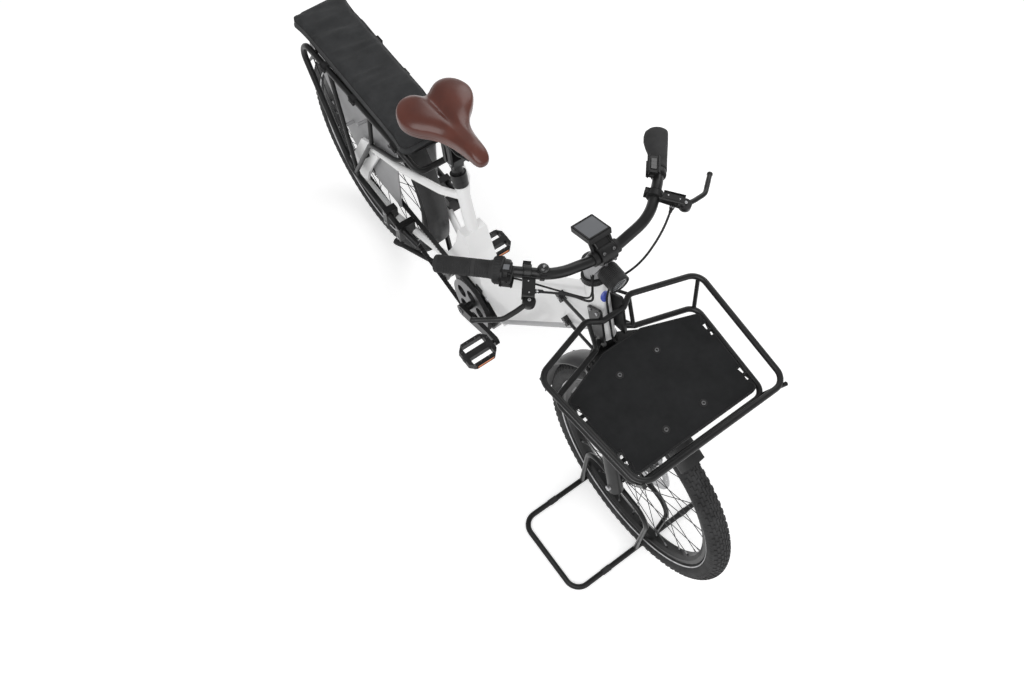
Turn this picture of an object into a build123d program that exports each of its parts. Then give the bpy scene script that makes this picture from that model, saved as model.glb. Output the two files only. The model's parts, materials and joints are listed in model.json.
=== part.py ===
from build123d import *
import math
import os

# Longtail cargo bicycle with a mid motor and belt drive, held in a wire floor stand.
# Millimetres. X points to the rider's left, Y to the rear, Z up.
# The origin is on the floor, in the centre plane, midway between the two axles.

os.makedirs("parts", exist_ok=True)

# ---------------------------------------------------------------- overall sizes and clearances
WHEELBASE = 1265
TYRE_RADIUS = 340
TYRE_WIDTH = 60
RUNNING_CLEARANCE = 0.05
FACE_CLEARANCE = 0.4
SEAT_GAP = 0.3

FRONT_Y = -WHEELBASE / 2
REAR_Y = WHEELBASE / 2
AXLE_Z = TYRE_RADIUS

# ---------------------------------------------------------------- wheels
RIM_SEAT_RADIUS = 286
RIM_DEPTH = 20
RIM_WIDTH = 34
RIM_BED_WIDTH = 20
SPOKE_RADIUS = 1.1
SPOKES_PER_SIDE = 16
SPOKE_END_GAP = 0.6
FLANGE_THICKNESS = 3
FRONT_FLANGE_X = 30
FRONT_FLANGE_RADIUS = 30
FRONT_HUB_RADIUS = 19
REAR_FLANGE_X = 28
REAR_FLANGE_RADIUS = 56
REAR_HUB_RADIUS = 48
HUB_END_RADIUS = 12
FRONT_AXLE_RADIUS = 7.5
REAR_AXLE_RADIUS = 6
ROTOR_RADIUS = 90
ROTOR_THICKNESS = 2
FRONT_ROTOR_X = 39
REAR_ROTOR_X = 55
CALIPER_SLOT = 6

# ---------------------------------------------------------------- steering and fork
HEAD_ANGLE = 68.5
FORK_OFFSET = 45.5
FORK_HEIGHT = 458
CROWN_THICKNESS = 36
STEERER_RADIUS = 14.3
STANCHION_RADIUS = 16
LEG_RADIUS = 20
LEG_X = 68
LEG_TOP = 290
LEG_BELOW_AXLE = 24
ARCH_TOP = 394
ARCH_BOTTOM = 215
ARCH_BAR = 20
ARCH_THICKNESS = 16
ARCH_CORNER = 34
HEADSET_LOW = 22
HEADSET_TOP = 14
HEADSET_RADIUS = 30
HEAD_TUBE_LENGTH = 174
HEAD_TUBE_RADIUS = 27
STEM_BASE_HEIGHT = 42
STEM_BASE_RADIUS = 23
HEAD_LOW = FORK_HEIGHT + HEADSET_LOW
HEAD_TOP = HEAD_LOW + HEAD_TUBE_LENGTH
STEM_LOW = HEAD_TOP + HEADSET_TOP + FACE_CLEARANCE
STEM_TOP = STEM_LOW + STEM_BASE_HEIGHT

# ---------------------------------------------------------------- handlebar
BAR_RADIUS = 12
BAR_CENTRE_BACK = 271
BAR_CENTRE_Z = 1045
BAR_STRAIGHT = 38
BAR_RISE = 0
BAR_HALF_WIDTH = 300
BAR_SWEEP_BACK = 177
STEM_CLAMP_RADIUS = 21
STEM_HALF_WIDTH = 19
GRIP_RADIUS = 18.5
GRIP_LENGTH = 120
GRIP_CAP = 4
SHIFTER_RADIUS = 26
SHIFTER_LENGTH = 20

# ---------------------------------------------------------------- crank, motor and belt
BB_BEFORE_REAR_AXLE = 589
BB_Z = 298
CRANK_LENGTH = 170
CRANK_TILT = 20
CRANK_INNER_X = 78
CRANK_THICKNESS = 13
SPINDLE_RADIUS = 12
MOTOR_HALF_WIDTH = 38
PEDAL_LENGTH = 94
PEDAL_WIDTH = 78
PEDAL_THICKNESS = 22
PEDAL_AXLE_RADIUS = 5
PEDAL_GAP = 6
BELT_X = -50
BELT_WIDTH = 12
BELT_THICKNESS = 5
FRONT_SPROCKET_RADIUS = 86
REAR_SPROCKET_RADIUS = 42
BB_Y = REAR_Y - BB_BEFORE_REAR_AXLE

# ---------------------------------------------------------------- main frame
DOWN_TUBE_LOW_WIDTH = 84
DOWN_TUBE_LOW_DEPTH = 160
DOWN_TUBE_TOP_WIDTH = 58
DOWN_TUBE_TOP_DEPTH = 112
DOWN_TUBE_CORNER = 24
BATTERY_COVER_DEPTH = 26
BRACKET_HALF_WIDTH = 36
SEAT_TUBE_RADIUS = 18
SEAT_TUBE_ANGLE = 70
SEAT_TUBE_TOP_BEHIND_BB = 129
SEAT_TUBE_TOP_Z = 715
SEAT_TUBE_LENGTH = 326
SEATPOST_RADIUS = 15.4
SEATPOST_HEAD_Z = 774
STAY_RADIUS = 11
STAY_X = 79
DROPOUT_THICKNESS = 9

# ---------------------------------------------------------------- mudguards
GUARD_INNER_RADIUS = 353
GUARD_CROWN = 8
GUARD_WALL = 3
GUARD_SIDE_GAP = 5
GUARD_HALF_WIDTH = TYRE_WIDTH / 2 + GUARD_SIDE_GAP
GUARD_STAY_RADIUS = 2
REAR_GUARD_START = 25
REAR_GUARD_END = 188
FRONT_GUARD_START = -12
FRONT_GUARD_END = 112

# ---------------------------------------------------------------- rear rack, deck and cushion
RACK_TUBE_RADIUS = 9
RACK_STRUT_RADIUS = 6.5
RAIL_X = 104
RAIL_TOP_Z = 708
RAIL_LOW_Z = 384
DECK_HALF_WIDTH = 60
DECK_THICKNESS = 8
CUSHION_THICKNESS = 32
CUSHION_LENGTH = 600
CUSHION_HALF_WIDTH = 88
PANEL_X = 62
PANEL_THICKNESS = 3
DECK_TOP_Z = RAIL_TOP_Z + RACK_TUBE_RADIUS

# ---------------------------------------------------------------- front rack
FRONT_RACK_TUBE = 7
FRONT_CROSS_TUBE = 5
FRONT_RIM_Z = 876
FRONT_FLOOR_Z = 800
FRONT_BOARD_THICKNESS = 12
HEAD_PLATE_THICKNESS = 6

# ---------------------------------------------------------------- stands
STAND_BAR_RADIUS = 8
HOOP_BAR_RADIUS = 7
STAND_HALF_LENGTH = 256
STAND_HALF_WIDTH = 126
RIGHT_HOOP_HEIGHT = 285
LEFT_HOOP_HEIGHT = 228
STAND_HOOP_X = 46
PROP_PIVOT_Z = 205
PROP_PIVOT_BEFORE_AXLE = 420
PROP_LEG_RADIUS = 8
PROP_LEG_LENGTH = 203
PROP_HUB_RADIUS = 9

# ---------------------------------------------------------------- saddle
SADDLE_TOP_Z = 914
SADDLE_THICKNESS = 48
SADDLE_LOBE_RADIUS = 54
SADDLE_LOBE_X = 48
SADDLE_NOSE_RADIUS = 22
SADDLE_WAIST_RADIUS = 37
SADDLE_WAIST_BACK = 70
SADDLE_LENGTH = 272
SADDLE_REAR_BEFORE_AXLE = 300
SADDLE_RAIL_RADIUS = 3.5

# ---------------------------------------------------------------- shared planes and shapes
angle = math.radians(HEAD_ANGLE)
across = Vector(1, 0, 0)
steer_up = Vector(0, math.cos(angle), math.sin(angle))
steer_back = Vector(0, math.sin(angle), -math.cos(angle))
front_axle = Vector(0, FRONT_Y, AXLE_Z)
rear_axle = Vector(0, REAR_Y, AXLE_Z)
bottom_bracket = Vector(0, BB_Y, BB_Z)
steer_origin = front_axle + steer_back * FORK_OFFSET


def back(y, z, x=0):
    """Point at a distance behind the front axle, a height and a side."""
    return Vector(x, FRONT_Y + y, z)


def ahead(y, z, x=0):
    """Point at a distance ahead of the rear axle, a height and a side."""
    return Vector(x, REAR_Y - y, z)


def steering(height):
    """Plane across the steering axis; its local Y points to the rear."""
    return Plane(origin=steer_origin + steer_up * height, x_dir=across, z_dir=steer_up)


def steering_point(x, rearward, height):
    return steer_origin + across * x + steer_back * rearward + steer_up * height


def crosswise(point):
    """Plane parallel to the centre plane; local X is to the rear, local Y is up."""
    return Plane(origin=point, x_dir=(0, 1, 0), z_dir=across)


def wheel_section(axle):
    """Half plane through a wheel's axis; local X is across the bicycle, local Y is the radius."""
    return Plane(origin=axle, x_dir=across, z_dir=(0, -1, 0))


def bent_bar(points, radii, radius, closed=False):
    """Round bar along straight runs joined by arcs, one arc radius for each corner."""
    with BuildPart() as bar:
        with BuildLine() as path:
            FilletPolyline(*points, radius=radii, close=closed)
        with BuildSketch(Plane(path.line ^ 0)):
            Circle(radius)
        sweep()
    return bar.part


def straight_bar(start, end, radius):
    run = Vector(end) - Vector(start)
    with BuildPart(Plane(origin=Vector(start), z_dir=run)) as bar:
        Cylinder(radius, run.length, align=(Align.CENTER, Align.CENTER, Align.MIN))
    return bar.part


def flat_plate(points, low_x, thickness, corner=0):
    """Plate parallel to the centre plane, from corner points given as vectors."""
    with BuildPart() as plate:
        with BuildSketch(crosswise((low_x, 0, 0))) as outline:
            with BuildLine():
                Polyline(*[(point.Y, point.Z) for point in points], close=True)
            make_face()
            if corner:
                fillet(outline.vertices(), corner)
        extrude(amount=thickness)
    return plate.part


def mirrored(piece):
    return mirror(piece, about=Plane.YZ)


def save(piece, label):
    piece.label = label
    export_step(piece, f"parts/{label}.step")


# ---------------------------------------------------------------- tyres, rims and spokes
def make_tyre(axle):
    shoulder = (RIM_SEAT_RADIUS + TYRE_RADIUS) / 2
    edge = (RIM_WIDTH / 2, RIM_SEAT_RADIUS)
    with BuildPart() as tyre:
        with BuildSketch(wheel_section(axle)):
            with BuildLine():
                Line((0, RIM_SEAT_RADIUS), edge)
                TangentArc((TYRE_WIDTH / 2, shoulder), edge, tangent=(0, -1))
                EllipticalCenterArc((0, shoulder), TYRE_WIDTH / 2, TYRE_RADIUS - shoulder, arc_size=90)
                Line((0, TYRE_RADIUS), (0, RIM_SEAT_RADIUS))
            make_face()
            mirror(about=Plane.YZ)
        revolve(axis=Axis(axle, across))
    return tyre.part


def make_rim(axle):
    shoulder = RIM_SEAT_RADIUS - RIM_DEPTH / 2
    bed = RIM_SEAT_RADIUS - RIM_DEPTH
    with BuildPart() as rim:
        with BuildSketch(wheel_section(axle)):
            with BuildLine():
                Polyline(
                    (-RIM_WIDTH / 2, RIM_SEAT_RADIUS),
                    (RIM_WIDTH / 2, RIM_SEAT_RADIUS),
                    (RIM_WIDTH / 2, shoulder),
                    (RIM_BED_WIDTH / 2, bed),
                    (-RIM_BED_WIDTH / 2, bed),
                    (-RIM_WIDTH / 2, shoulder),
                    close=True,
                )
            make_face()
        revolve(axis=Axis(axle, across))
    return rim.part


def make_spokes(axle, flange_x, flange_radius, lacing_angle):
    """Crossed spokes from both flanges; leading and trailing spokes lie side by side."""
    offset = SPOKE_RADIUS * 1.2
    bed_x = RIM_BED_WIDTH / 6
    start_radius = flange_radius + SPOKE_RADIUS + SEAT_GAP
    end_radius = RIM_SEAT_RADIUS - RIM_DEPTH - SPOKE_END_GAP
    pitch = 360 / SPOKES_PER_SIDE
    spokes = []
    for side in (-1, 1):
        for number in range(SPOKES_PER_SIDE):
            lean = 1 if number % 2 == 0 else -1
            start_angle = math.radians(number * pitch + (pitch / 2 if side > 0 else 0))
            end_angle = start_angle + math.radians(lean * lacing_angle)
            start = axle + Vector(
                side * flange_x + lean * offset,
                start_radius * math.cos(start_angle),
                start_radius * math.sin(start_angle),
            )
            end = axle + Vector(
                side * bed_x + lean * offset,
                end_radius * math.cos(end_angle),
                end_radius * math.sin(end_angle),
            )
            spokes.append(straight_bar(start, end, SPOKE_RADIUS))
    return Compound(children=spokes)


LACING_FRONT = 67.5
LACING_REAR = 45
for name, axle, flange_x, flange_radius, lacing in (
    ("front", front_axle, FRONT_FLANGE_X, FRONT_FLANGE_RADIUS, LACING_FRONT),
    ("rear", rear_axle, REAR_FLANGE_X, REAR_FLANGE_RADIUS, LACING_REAR),
):
    save(make_tyre(axle), f"{name}_tyre")
    save(make_rim(axle), f"{name}_rim")
    save(make_spokes(axle, flange_x, flange_radius, lacing), f"{name}_spokes")


# ---------------------------------------------------------------- hubs, rotors and axles
FRONT_HUB_HALF = LEG_X - LEG_RADIUS - FACE_CLEARANCE
DROPOUT_INNER_X = STAY_X - DROPOUT_THICKNESS / 2
REAR_HUB_HALF = DROPOUT_INNER_X - FACE_CLEARANCE
REAR_HUB_END_RADIUS = 14
HUB_LOW = (Align.CENTER, Align.CENTER, Align.MIN)

with BuildPart(crosswise(front_axle)) as front_hub:
    Cylinder(HUB_END_RADIUS, 2 * FRONT_HUB_HALF)
    Cylinder(FRONT_HUB_RADIUS, 2 * FRONT_FLANGE_X)
    with Locations((0, 0, -FRONT_FLANGE_X), (0, 0, FRONT_FLANGE_X)):
        Cylinder(FRONT_FLANGE_RADIUS, FLANGE_THICKNESS)
    with Locations((0, 0, FRONT_FLANGE_X)):
        Cylinder(FRONT_HUB_RADIUS, FRONT_ROTOR_X - FRONT_FLANGE_X, align=HUB_LOW)
    Cylinder(FRONT_AXLE_RADIUS + RUNNING_CLEARANCE, 3 * FRONT_HUB_HALF, mode=Mode.SUBTRACT)
save(front_hub.part, "front_hub")

with BuildPart(crosswise(rear_axle)) as rear_hub:
    Cylinder(REAR_HUB_END_RADIUS, 2 * REAR_HUB_HALF)
    Cylinder(REAR_HUB_RADIUS, 2 * REAR_FLANGE_X)
    with Locations((0, 0, -REAR_FLANGE_X), (0, 0, REAR_FLANGE_X)):
        Cylinder(REAR_FLANGE_RADIUS, FLANGE_THICKNESS)
    with Locations((0, 0, REAR_FLANGE_X)):
        Cylinder(REAR_HUB_RADIUS / 2, REAR_ROTOR_X - REAR_FLANGE_X, align=HUB_LOW)
    with Locations((0, 0, BELT_X + BELT_WIDTH / 2)):
        Cylinder(REAR_HUB_RADIUS / 2, -BELT_X - BELT_WIDTH / 2 - REAR_FLANGE_X, align=HUB_LOW)
    Cylinder(REAR_AXLE_RADIUS + RUNNING_CLEARANCE, 3 * REAR_HUB_HALF, mode=Mode.SUBTRACT)
save(rear_hub.part, "rear_hub")


def make_rotor(axle, low_x, bore):
    """Brake disc with six windows and a ring of cooling holes."""
    with BuildPart() as rotor:
        with BuildSketch(crosswise(axle + across * low_x)):
            Circle(ROTOR_RADIUS)
            Circle(bore, mode=Mode.SUBTRACT)
            with PolarLocations(ROTOR_RADIUS * 0.54, 6):
                Circle(ROTOR_RADIUS * 0.2, mode=Mode.SUBTRACT)
            with PolarLocations(ROTOR_RADIUS * 0.88, 24):
                Circle(ROTOR_RADIUS * 0.04, mode=Mode.SUBTRACT)
        extrude(amount=ROTOR_THICKNESS)
    return rotor.part


save(make_rotor(front_axle, FRONT_ROTOR_X, HUB_END_RADIUS), "front_brake_disc")
save(make_rotor(rear_axle, REAR_ROTOR_X, REAR_HUB_END_RADIUS), "rear_brake_disc")

AXLE_OVERHANG = 5
AXLE_NUT_RADIUS = 11
AXLE_NUT_LENGTH = 9
FRONT_AXLE_HALF = LEG_X + LEG_RADIUS + AXLE_OVERHANG
with BuildPart(crosswise(front_axle)) as front_through_axle:
    Cylinder(FRONT_AXLE_RADIUS, 2 * FRONT_AXLE_HALF)
save(front_through_axle.part, "front_axle")

REAR_AXLE_HALF = DROPOUT_INNER_X + DROPOUT_THICKNESS + AXLE_NUT_LENGTH
with BuildPart(crosswise(rear_axle)) as rear_through_axle:
    Cylinder(REAR_AXLE_RADIUS, 2 * REAR_AXLE_HALF)
    for side in (-1, 1):
        with Locations((0, 0, side * (REAR_AXLE_HALF - AXLE_NUT_LENGTH / 2))):
            Cylinder(AXLE_NUT_RADIUS, AXLE_NUT_LENGTH)
save(rear_through_axle.part, "rear_axle")


# ---------------------------------------------------------------- fork
def circle_hull(plane, circles):
    """Flat outline wrapped round circles given as (x, y, radius)."""
    with BuildSketch(plane) as outline:
        for x, y, radius in circles:
            with Locations((x, y)):
                Circle(radius)
        make_hull()
    return outline.sketch


crown_low = FORK_HEIGHT - CROWN_THICKNESS
with BuildPart() as fork_crown:
    crown_circles = (
        (-LEG_X, -FORK_OFFSET, STANCHION_RADIUS + 6),
        (LEG_X, -FORK_OFFSET, STANCHION_RADIUS + 6),
        (0, 0, STEERER_RADIUS + 12),
    )
    extrude(circle_hull(steering(crown_low), crown_circles), amount=CROWN_THICKNESS)
    chamfer(fork_crown.faces().sort_by(Axis(steer_origin, steer_up))[-1].edges(), 3)
    with BuildSketch(steering(FORK_HEIGHT)):
        Circle(STEERER_RADIUS)
    extrude(amount=STEM_TOP - FORK_HEIGHT)
    with BuildSketch(steering(LEG_TOP)):
        with Locations((-LEG_X, -FORK_OFFSET), (LEG_X, -FORK_OFFSET)):
            Circle(STANCHION_RADIUS)
    extrude(amount=crown_low - LEG_TOP)
save(fork_crown.part, "fork_crown")

arch_plane = Plane(
    origin=steer_origin - steer_back * (FORK_OFFSET + 6),
    x_dir=across,
    z_dir=-steer_back,
)
arch_inner_x = LEG_X - LEG_RADIUS - 2
arch_outer_x = LEG_X + LEG_RADIUS / 2
with BuildPart() as fork_lowers:
    with BuildSketch(steering(-LEG_BELOW_AXLE)):
        with Locations((-LEG_X, -FORK_OFFSET), (LEG_X, -FORK_OFFSET)):
            Circle(LEG_RADIUS)
    extrude(amount=LEG_TOP + LEG_BELOW_AXLE)
    with BuildSketch(arch_plane) as arch:
        with Locations((0, ARCH_BOTTOM)):
            Rectangle(2 * arch_outer_x, ARCH_TOP - ARCH_BOTTOM, align=(Align.CENTER, Align.MIN))
            fillet(arch.vertices().group_by(Axis.Y)[-1], ARCH_CORNER)
            Rectangle(
                2 * arch_inner_x,
                ARCH_TOP - ARCH_BAR - ARCH_BOTTOM,
                align=(Align.CENTER, Align.MIN),
                mode=Mode.SUBTRACT,
            )
        fillet(arch.vertices().group_by(Axis.Y)[-2], ARCH_CORNER - ARCH_BAR / 2)
    extrude(amount=ARCH_THICKNESS)
    with BuildSketch(steering(LEG_TOP)):
        with Locations((-LEG_X, -FORK_OFFSET), (LEG_X, -FORK_OFFSET)):
            Circle(STANCHION_RADIUS + FACE_CLEARANCE)
    extrude(amount=crown_low - LEG_TOP, mode=Mode.SUBTRACT)
    add(straight_bar(front_axle - across * 2 * LEG_X, front_axle + across * 2 * LEG_X, FRONT_AXLE_RADIUS),
        mode=Mode.SUBTRACT)
save(fork_lowers.part, "fork_lowers")

# ---------------------------------------------------------------- handlebar and stem
BAR_MIDDLE = (125, 8, 17)
BAR_BEND = (198, 68, 20)


def bar_point(side, along_x, rearward, rise):
    return back(BAR_CENTRE_BACK + rearward, BAR_CENTRE_Z + rise, side * along_x)


def bar_half(side):
    return [
        bar_point(side, BAR_STRAIGHT, 0, 0),
        bar_point(side, *BAR_MIDDLE),
        bar_point(side, *BAR_BEND),
        bar_point(side, BAR_HALF_WIDTH, BAR_SWEEP_BACK, BAR_RISE),
    ]


bar_path = list(reversed(bar_half(-1))) + bar_half(1)
handlebar = bent_bar(bar_path, (160, 120, 60, 60, 120, 160), BAR_RADIUS)
save(handlebar, "handlebar")

with BuildPart() as stem:
    with BuildSketch(steering(STEM_LOW)):
        Circle(STEM_BASE_RADIUS)
    extrude(amount=STEM_BASE_HEIGHT)
    stem_centre = steering_point(0, 0, STEM_LOW + STEM_BASE_HEIGHT / 2)
    bar_centre = back(BAR_CENTRE_BACK, BAR_CENTRE_Z)
    arm_circles = (
        (stem_centre.Y, stem_centre.Z, STEM_BASE_HEIGHT / 2 - 1),
        (bar_centre.Y, bar_centre.Z, STEM_CLAMP_RADIUS),
    )
    extrude(circle_hull(crosswise((-STEM_HALF_WIDTH, 0, 0)), arm_circles), amount=2 * STEM_HALF_WIDTH)
    add(straight_bar(bar_centre - across * 50, bar_centre + across * 50, BAR_RADIUS), mode=Mode.SUBTRACT)
    add(fork_crown.part, mode=Mode.SUBTRACT)
save(stem.part, "stem")


def grip_frame(side, distance):
    """Plane across the bar's end run, at a distance inwards from its end."""
    end = bar_point(side, BAR_HALF_WIDTH, BAR_SWEEP_BACK, BAR_RISE)
    inward = (bar_point(side, *BAR_BEND) - end).normalized()
    return Plane(origin=end + inward * distance, z_dir=inward)


def bar_sleeve(side, distance, radius, length):
    """Sleeve round the end run of the bar, cut to fit it."""
    with BuildPart() as sleeve:
        with BuildSketch(grip_frame(side, distance)):
            Circle(radius)
        extrude(amount=length)
        add(handlebar, mode=Mode.SUBTRACT)
    return sleeve.part


grip_pieces = []
for side in (-1, 1):
    with BuildPart() as grip:
        add(bar_sleeve(side, -GRIP_CAP, GRIP_RADIUS, GRIP_LENGTH + GRIP_CAP))
        end_circles = grip.edges().filter_by(GeomType.CIRCLE).group_by(SortBy.RADIUS)[-1]
        fillet(end_circles.sort_by(Axis.Y)[-1], 4)
    grip_pieces.append(grip.part)
save(Compound(children=grip_pieces), "grips")
save(bar_sleeve(-1, GRIP_LENGTH + SEAT_GAP, SHIFTER_RADIUS, SHIFTER_LENGTH), "twist_shifter")

# ---------------------------------------------------------------- brake levers
LEVER_CLAMP_SHARE = 0.6
LEVER_CLAMP_RADIUS = 17
LEVER_CLAMP_LENGTH = 14
LEVER_BODY_RADIUS = 11
LEVER_RADIUS = 5.5


def make_lever(side):
    run_start = bar_point(side, *BAR_MIDDLE)
    run_whole = bar_point(side, *BAR_BEND) - run_start
    run = run_whole.normalized()
    clamp = run_start + run_whole * LEVER_CLAMP_SHARE
    pivot = bar_point(side, 206, -12, 17)
    blade = [
        bar_point(side, 190, -2, 24),
        pivot,
        bar_point(side, 236, -12, 12),
        bar_point(side, 268, -10, 8),
        bar_point(side, 318, 28, 0),
    ]
    with BuildPart() as lever:
        half_clamp = run * LEVER_CLAMP_LENGTH / 2
        add(straight_bar(clamp - half_clamp, clamp + half_clamp, LEVER_CLAMP_RADIUS))
        add(straight_bar(clamp, pivot, LEVER_BODY_RADIUS))
        add(bent_bar(blade, (10, 30, 30), LEVER_RADIUS))
        add(handlebar, mode=Mode.SUBTRACT)
    return lever.part


right_lever = make_lever(-1)
left_lever = make_lever(1)
save(Compound(children=[right_lever, left_lever]), "brake_levers")

# ---------------------------------------------------------------- display and headlight
DISPLAY_SIZE = (58, 66, 12)
DISPLAY_TILT = 20
DISPLAY_ARM_X = 29
display_centre = back(BAR_CENTRE_BACK + 50, BAR_CENTRE_Z + 24)
with BuildPart() as display:
    with Locations(Location(display_centre, (-DISPLAY_TILT, 0, 0))):
        Box(*DISPLAY_SIZE)
    fillet(display.edges().filter_by(Axis.X, reverse=True).group_by(SortBy.LENGTH)[0], 3)
    for side in (-1, 1):
        arm_root = bar_centre + across * side * (DISPLAY_ARM_X - 6)
        add(straight_bar(arm_root, arm_root + across * side * 10, BAR_RADIUS + 4))
        arm_tip = display_centre + Vector(side * (DISPLAY_ARM_X - 5), -20, 7)
        add(straight_bar(bar_centre + across * side * (DISPLAY_ARM_X - 5), arm_tip, 4))
    add(handlebar, mode=Mode.SUBTRACT)
save(display.part, "display")

HEADLIGHT_RADIUS = 24
HEADLIGHT_LENGTH = 46
headlight_rear = back(258, 998)
headlight_front = headlight_rear - Vector(0, HEADLIGHT_LENGTH, 0)
HEADLIGHT_ARM = 24
with BuildPart() as headlight:
    add(straight_bar(headlight_rear, headlight_front, HEADLIGHT_RADIUS))
    fillet(headlight.edges().filter_by(GeomType.CIRCLE), 3)
    add(straight_bar(headlight_rear + Vector(0, HEADLIGHT_ARM, 0), headlight_rear - Vector(0, 2, 0), 9))
    add(stem.part, mode=Mode.SUBTRACT)
save(headlight.part.solids().sort_by(SortBy.VOLUME)[-1], "headlight")

# ---------------------------------------------------------------- head tube, headset and down tube
with BuildPart() as head_tube:
    with BuildSketch(steering(HEAD_LOW)):
        Circle(HEAD_TUBE_RADIUS)
        Circle(STEERER_RADIUS + RUNNING_CLEARANCE, mode=Mode.SUBTRACT)
    extrude(amount=HEAD_TUBE_LENGTH)
save(head_tube.part, "head_tube")

with BuildPart() as headset:
    for low, height in (
        (FORK_HEIGHT + FACE_CLEARANCE, HEADSET_LOW - FACE_CLEARANCE),
        (HEAD_TOP, HEADSET_TOP),
    ):
        with BuildSketch(steering(low)):
            Circle(HEADSET_RADIUS)
            Circle(STEERER_RADIUS + RUNNING_CLEARANCE, mode=Mode.SUBTRACT)
        extrude(amount=height)
save(headset.part, "headset")

down_tube_low = Vector(0, BB_Y - 76, BB_Z + 107)
head_middle = steering_point(0, 0, HEAD_LOW + HEAD_TUBE_LENGTH / 2)
down_run = head_middle - down_tube_low
down_along = down_run.normalized()
down_over = down_along.cross(across)
DOWN_TUBE_EXTRA = 60
extra_share = 1 + DOWN_TUBE_EXTRA / down_run.length
low_size = (DOWN_TUBE_LOW_WIDTH, DOWN_TUBE_LOW_DEPTH)
end_size = [
    low + (top - low) * extra_share
    for low, top in zip(low_size, (DOWN_TUBE_TOP_WIDTH, DOWN_TUBE_TOP_DEPTH))
]
with BuildPart() as tube_blank:
    with BuildSketch(Plane(origin=down_tube_low, x_dir=across, z_dir=down_along)):
        RectangleRounded(*low_size, DOWN_TUBE_CORNER)
    with BuildSketch(Plane(origin=down_tube_low + down_run * extra_share, x_dir=across, z_dir=down_along)):
        RectangleRounded(*end_size, DOWN_TUBE_CORNER)
    loft()
    split(bisect_by=Plane(origin=steer_origin, x_dir=across, z_dir=steer_back), keep=Keep.TOP)
    with BuildSketch(steering(0)):
        Circle(HEADSET_RADIUS)
    extrude(amount=HEAD_LOW, mode=Mode.SUBTRACT)
    with BuildSketch(steering(HEAD_LOW)):
        Circle(HEAD_TUBE_RADIUS)
    extrude(amount=HEAD_TUBE_LENGTH, mode=Mode.SUBTRACT)

cover_low = down_tube_low - down_over * (DOWN_TUBE_LOW_DEPTH / 2 - BATTERY_COVER_DEPTH)
cover_top = head_middle - down_over * (DOWN_TUBE_TOP_DEPTH / 2 - BATTERY_COVER_DEPTH)
cover_plane = Plane(origin=cover_low, x_dir=across, z_dir=(cover_top - cover_low).cross(across))
COVER_END = 110
cover_end = Plane(origin=head_middle - down_along * COVER_END, x_dir=across, z_dir=down_along)
with BuildPart() as battery_cover:
    add(tube_blank.part)
    split(bisect_by=cover_plane, keep=Keep.BOTTOM)
    split(bisect_by=cover_end, keep=Keep.BOTTOM)
with BuildPart() as down_tube:
    add(tube_blank.part)
    add(battery_cover.part, mode=Mode.SUBTRACT)
save(battery_cover.part, "battery_cover")
save(down_tube.part, "down_tube")


# ---------------------------------------------------------------- motor, bracket and seat tube
def by_crank(y, z):
    """Point behind and above the crank's centre."""
    return bottom_bracket + Vector(0, y, z)


MOTOR_CORNER = 14
motor_outline = [
    (-118, 52),
    (-92, -30),
    (-48, -66),
    (48, -66),
    (92, -30),
    (112, 20),
    (108, 62),
    (40, 84),
    (-60, 84),
]
with BuildPart() as motor:
    motor_corners = [by_crank(*point) for point in motor_outline]
    add(flat_plate(motor_corners, -MOTOR_HALF_WIDTH, 2 * MOTOR_HALF_WIDTH, MOTOR_CORNER))
    add(
        straight_bar(
            bottom_bracket - across * 2 * MOTOR_HALF_WIDTH,
            bottom_bracket + across * 2 * MOTOR_HALF_WIDTH,
            SPINDLE_RADIUS + RUNNING_CLEARANCE,
        ),
        mode=Mode.SUBTRACT,
    )
save(motor.part, "motor")

seat_angle = math.radians(SEAT_TUBE_ANGLE)
seat_up = Vector(0, math.cos(seat_angle), math.sin(seat_angle))
seat_top = Vector(0, BB_Y + SEAT_TUBE_TOP_BEHIND_BB, SEAT_TUBE_TOP_Z)
SEAT_CLAMP_HEIGHT = 22
SEAT_CLAMP_RADIUS = SEAT_TUBE_RADIUS + 4
with BuildPart() as seat_tube:
    with BuildSketch(Plane(origin=seat_top, x_dir=across, z_dir=seat_up)):
        Circle(SEAT_TUBE_RADIUS)
        Circle(SEATPOST_RADIUS, mode=Mode.SUBTRACT)
    extrude(amount=-SEAT_TUBE_LENGTH)
save(seat_tube.part, "seat_tube")

bracket_outline = [
    down_tube_low - down_over * DOWN_TUBE_LOW_DEPTH / 2,
    down_tube_low + down_over * DOWN_TUBE_LOW_DEPTH / 2,
    by_crank(22, 205),
    by_crank(56, 268),
    by_crank(90, 262),
    by_crank(102, 190),
    by_crank(128, 118),
    by_crank(148, 80),
    by_crank(148, 18),
    by_crank(104, 14),
    by_crank(60, 70),
    by_crank(-100, 40),
]
with BuildPart() as motor_bracket:
    add(flat_plate(bracket_outline, -BRACKET_HALF_WIDTH, 2 * BRACKET_HALF_WIDTH))
    add(motor.part, mode=Mode.SUBTRACT)
    with BuildSketch(Plane(origin=seat_top, x_dir=across, z_dir=seat_up)):
        Circle(SEAT_TUBE_RADIUS)
    extrude(amount=-SEAT_TUBE_LENGTH, mode=Mode.SUBTRACT)
bracket_main = motor_bracket.part.solids().sort_by(SortBy.VOLUME)[-1]
save(bracket_main, "motor_bracket")

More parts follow.
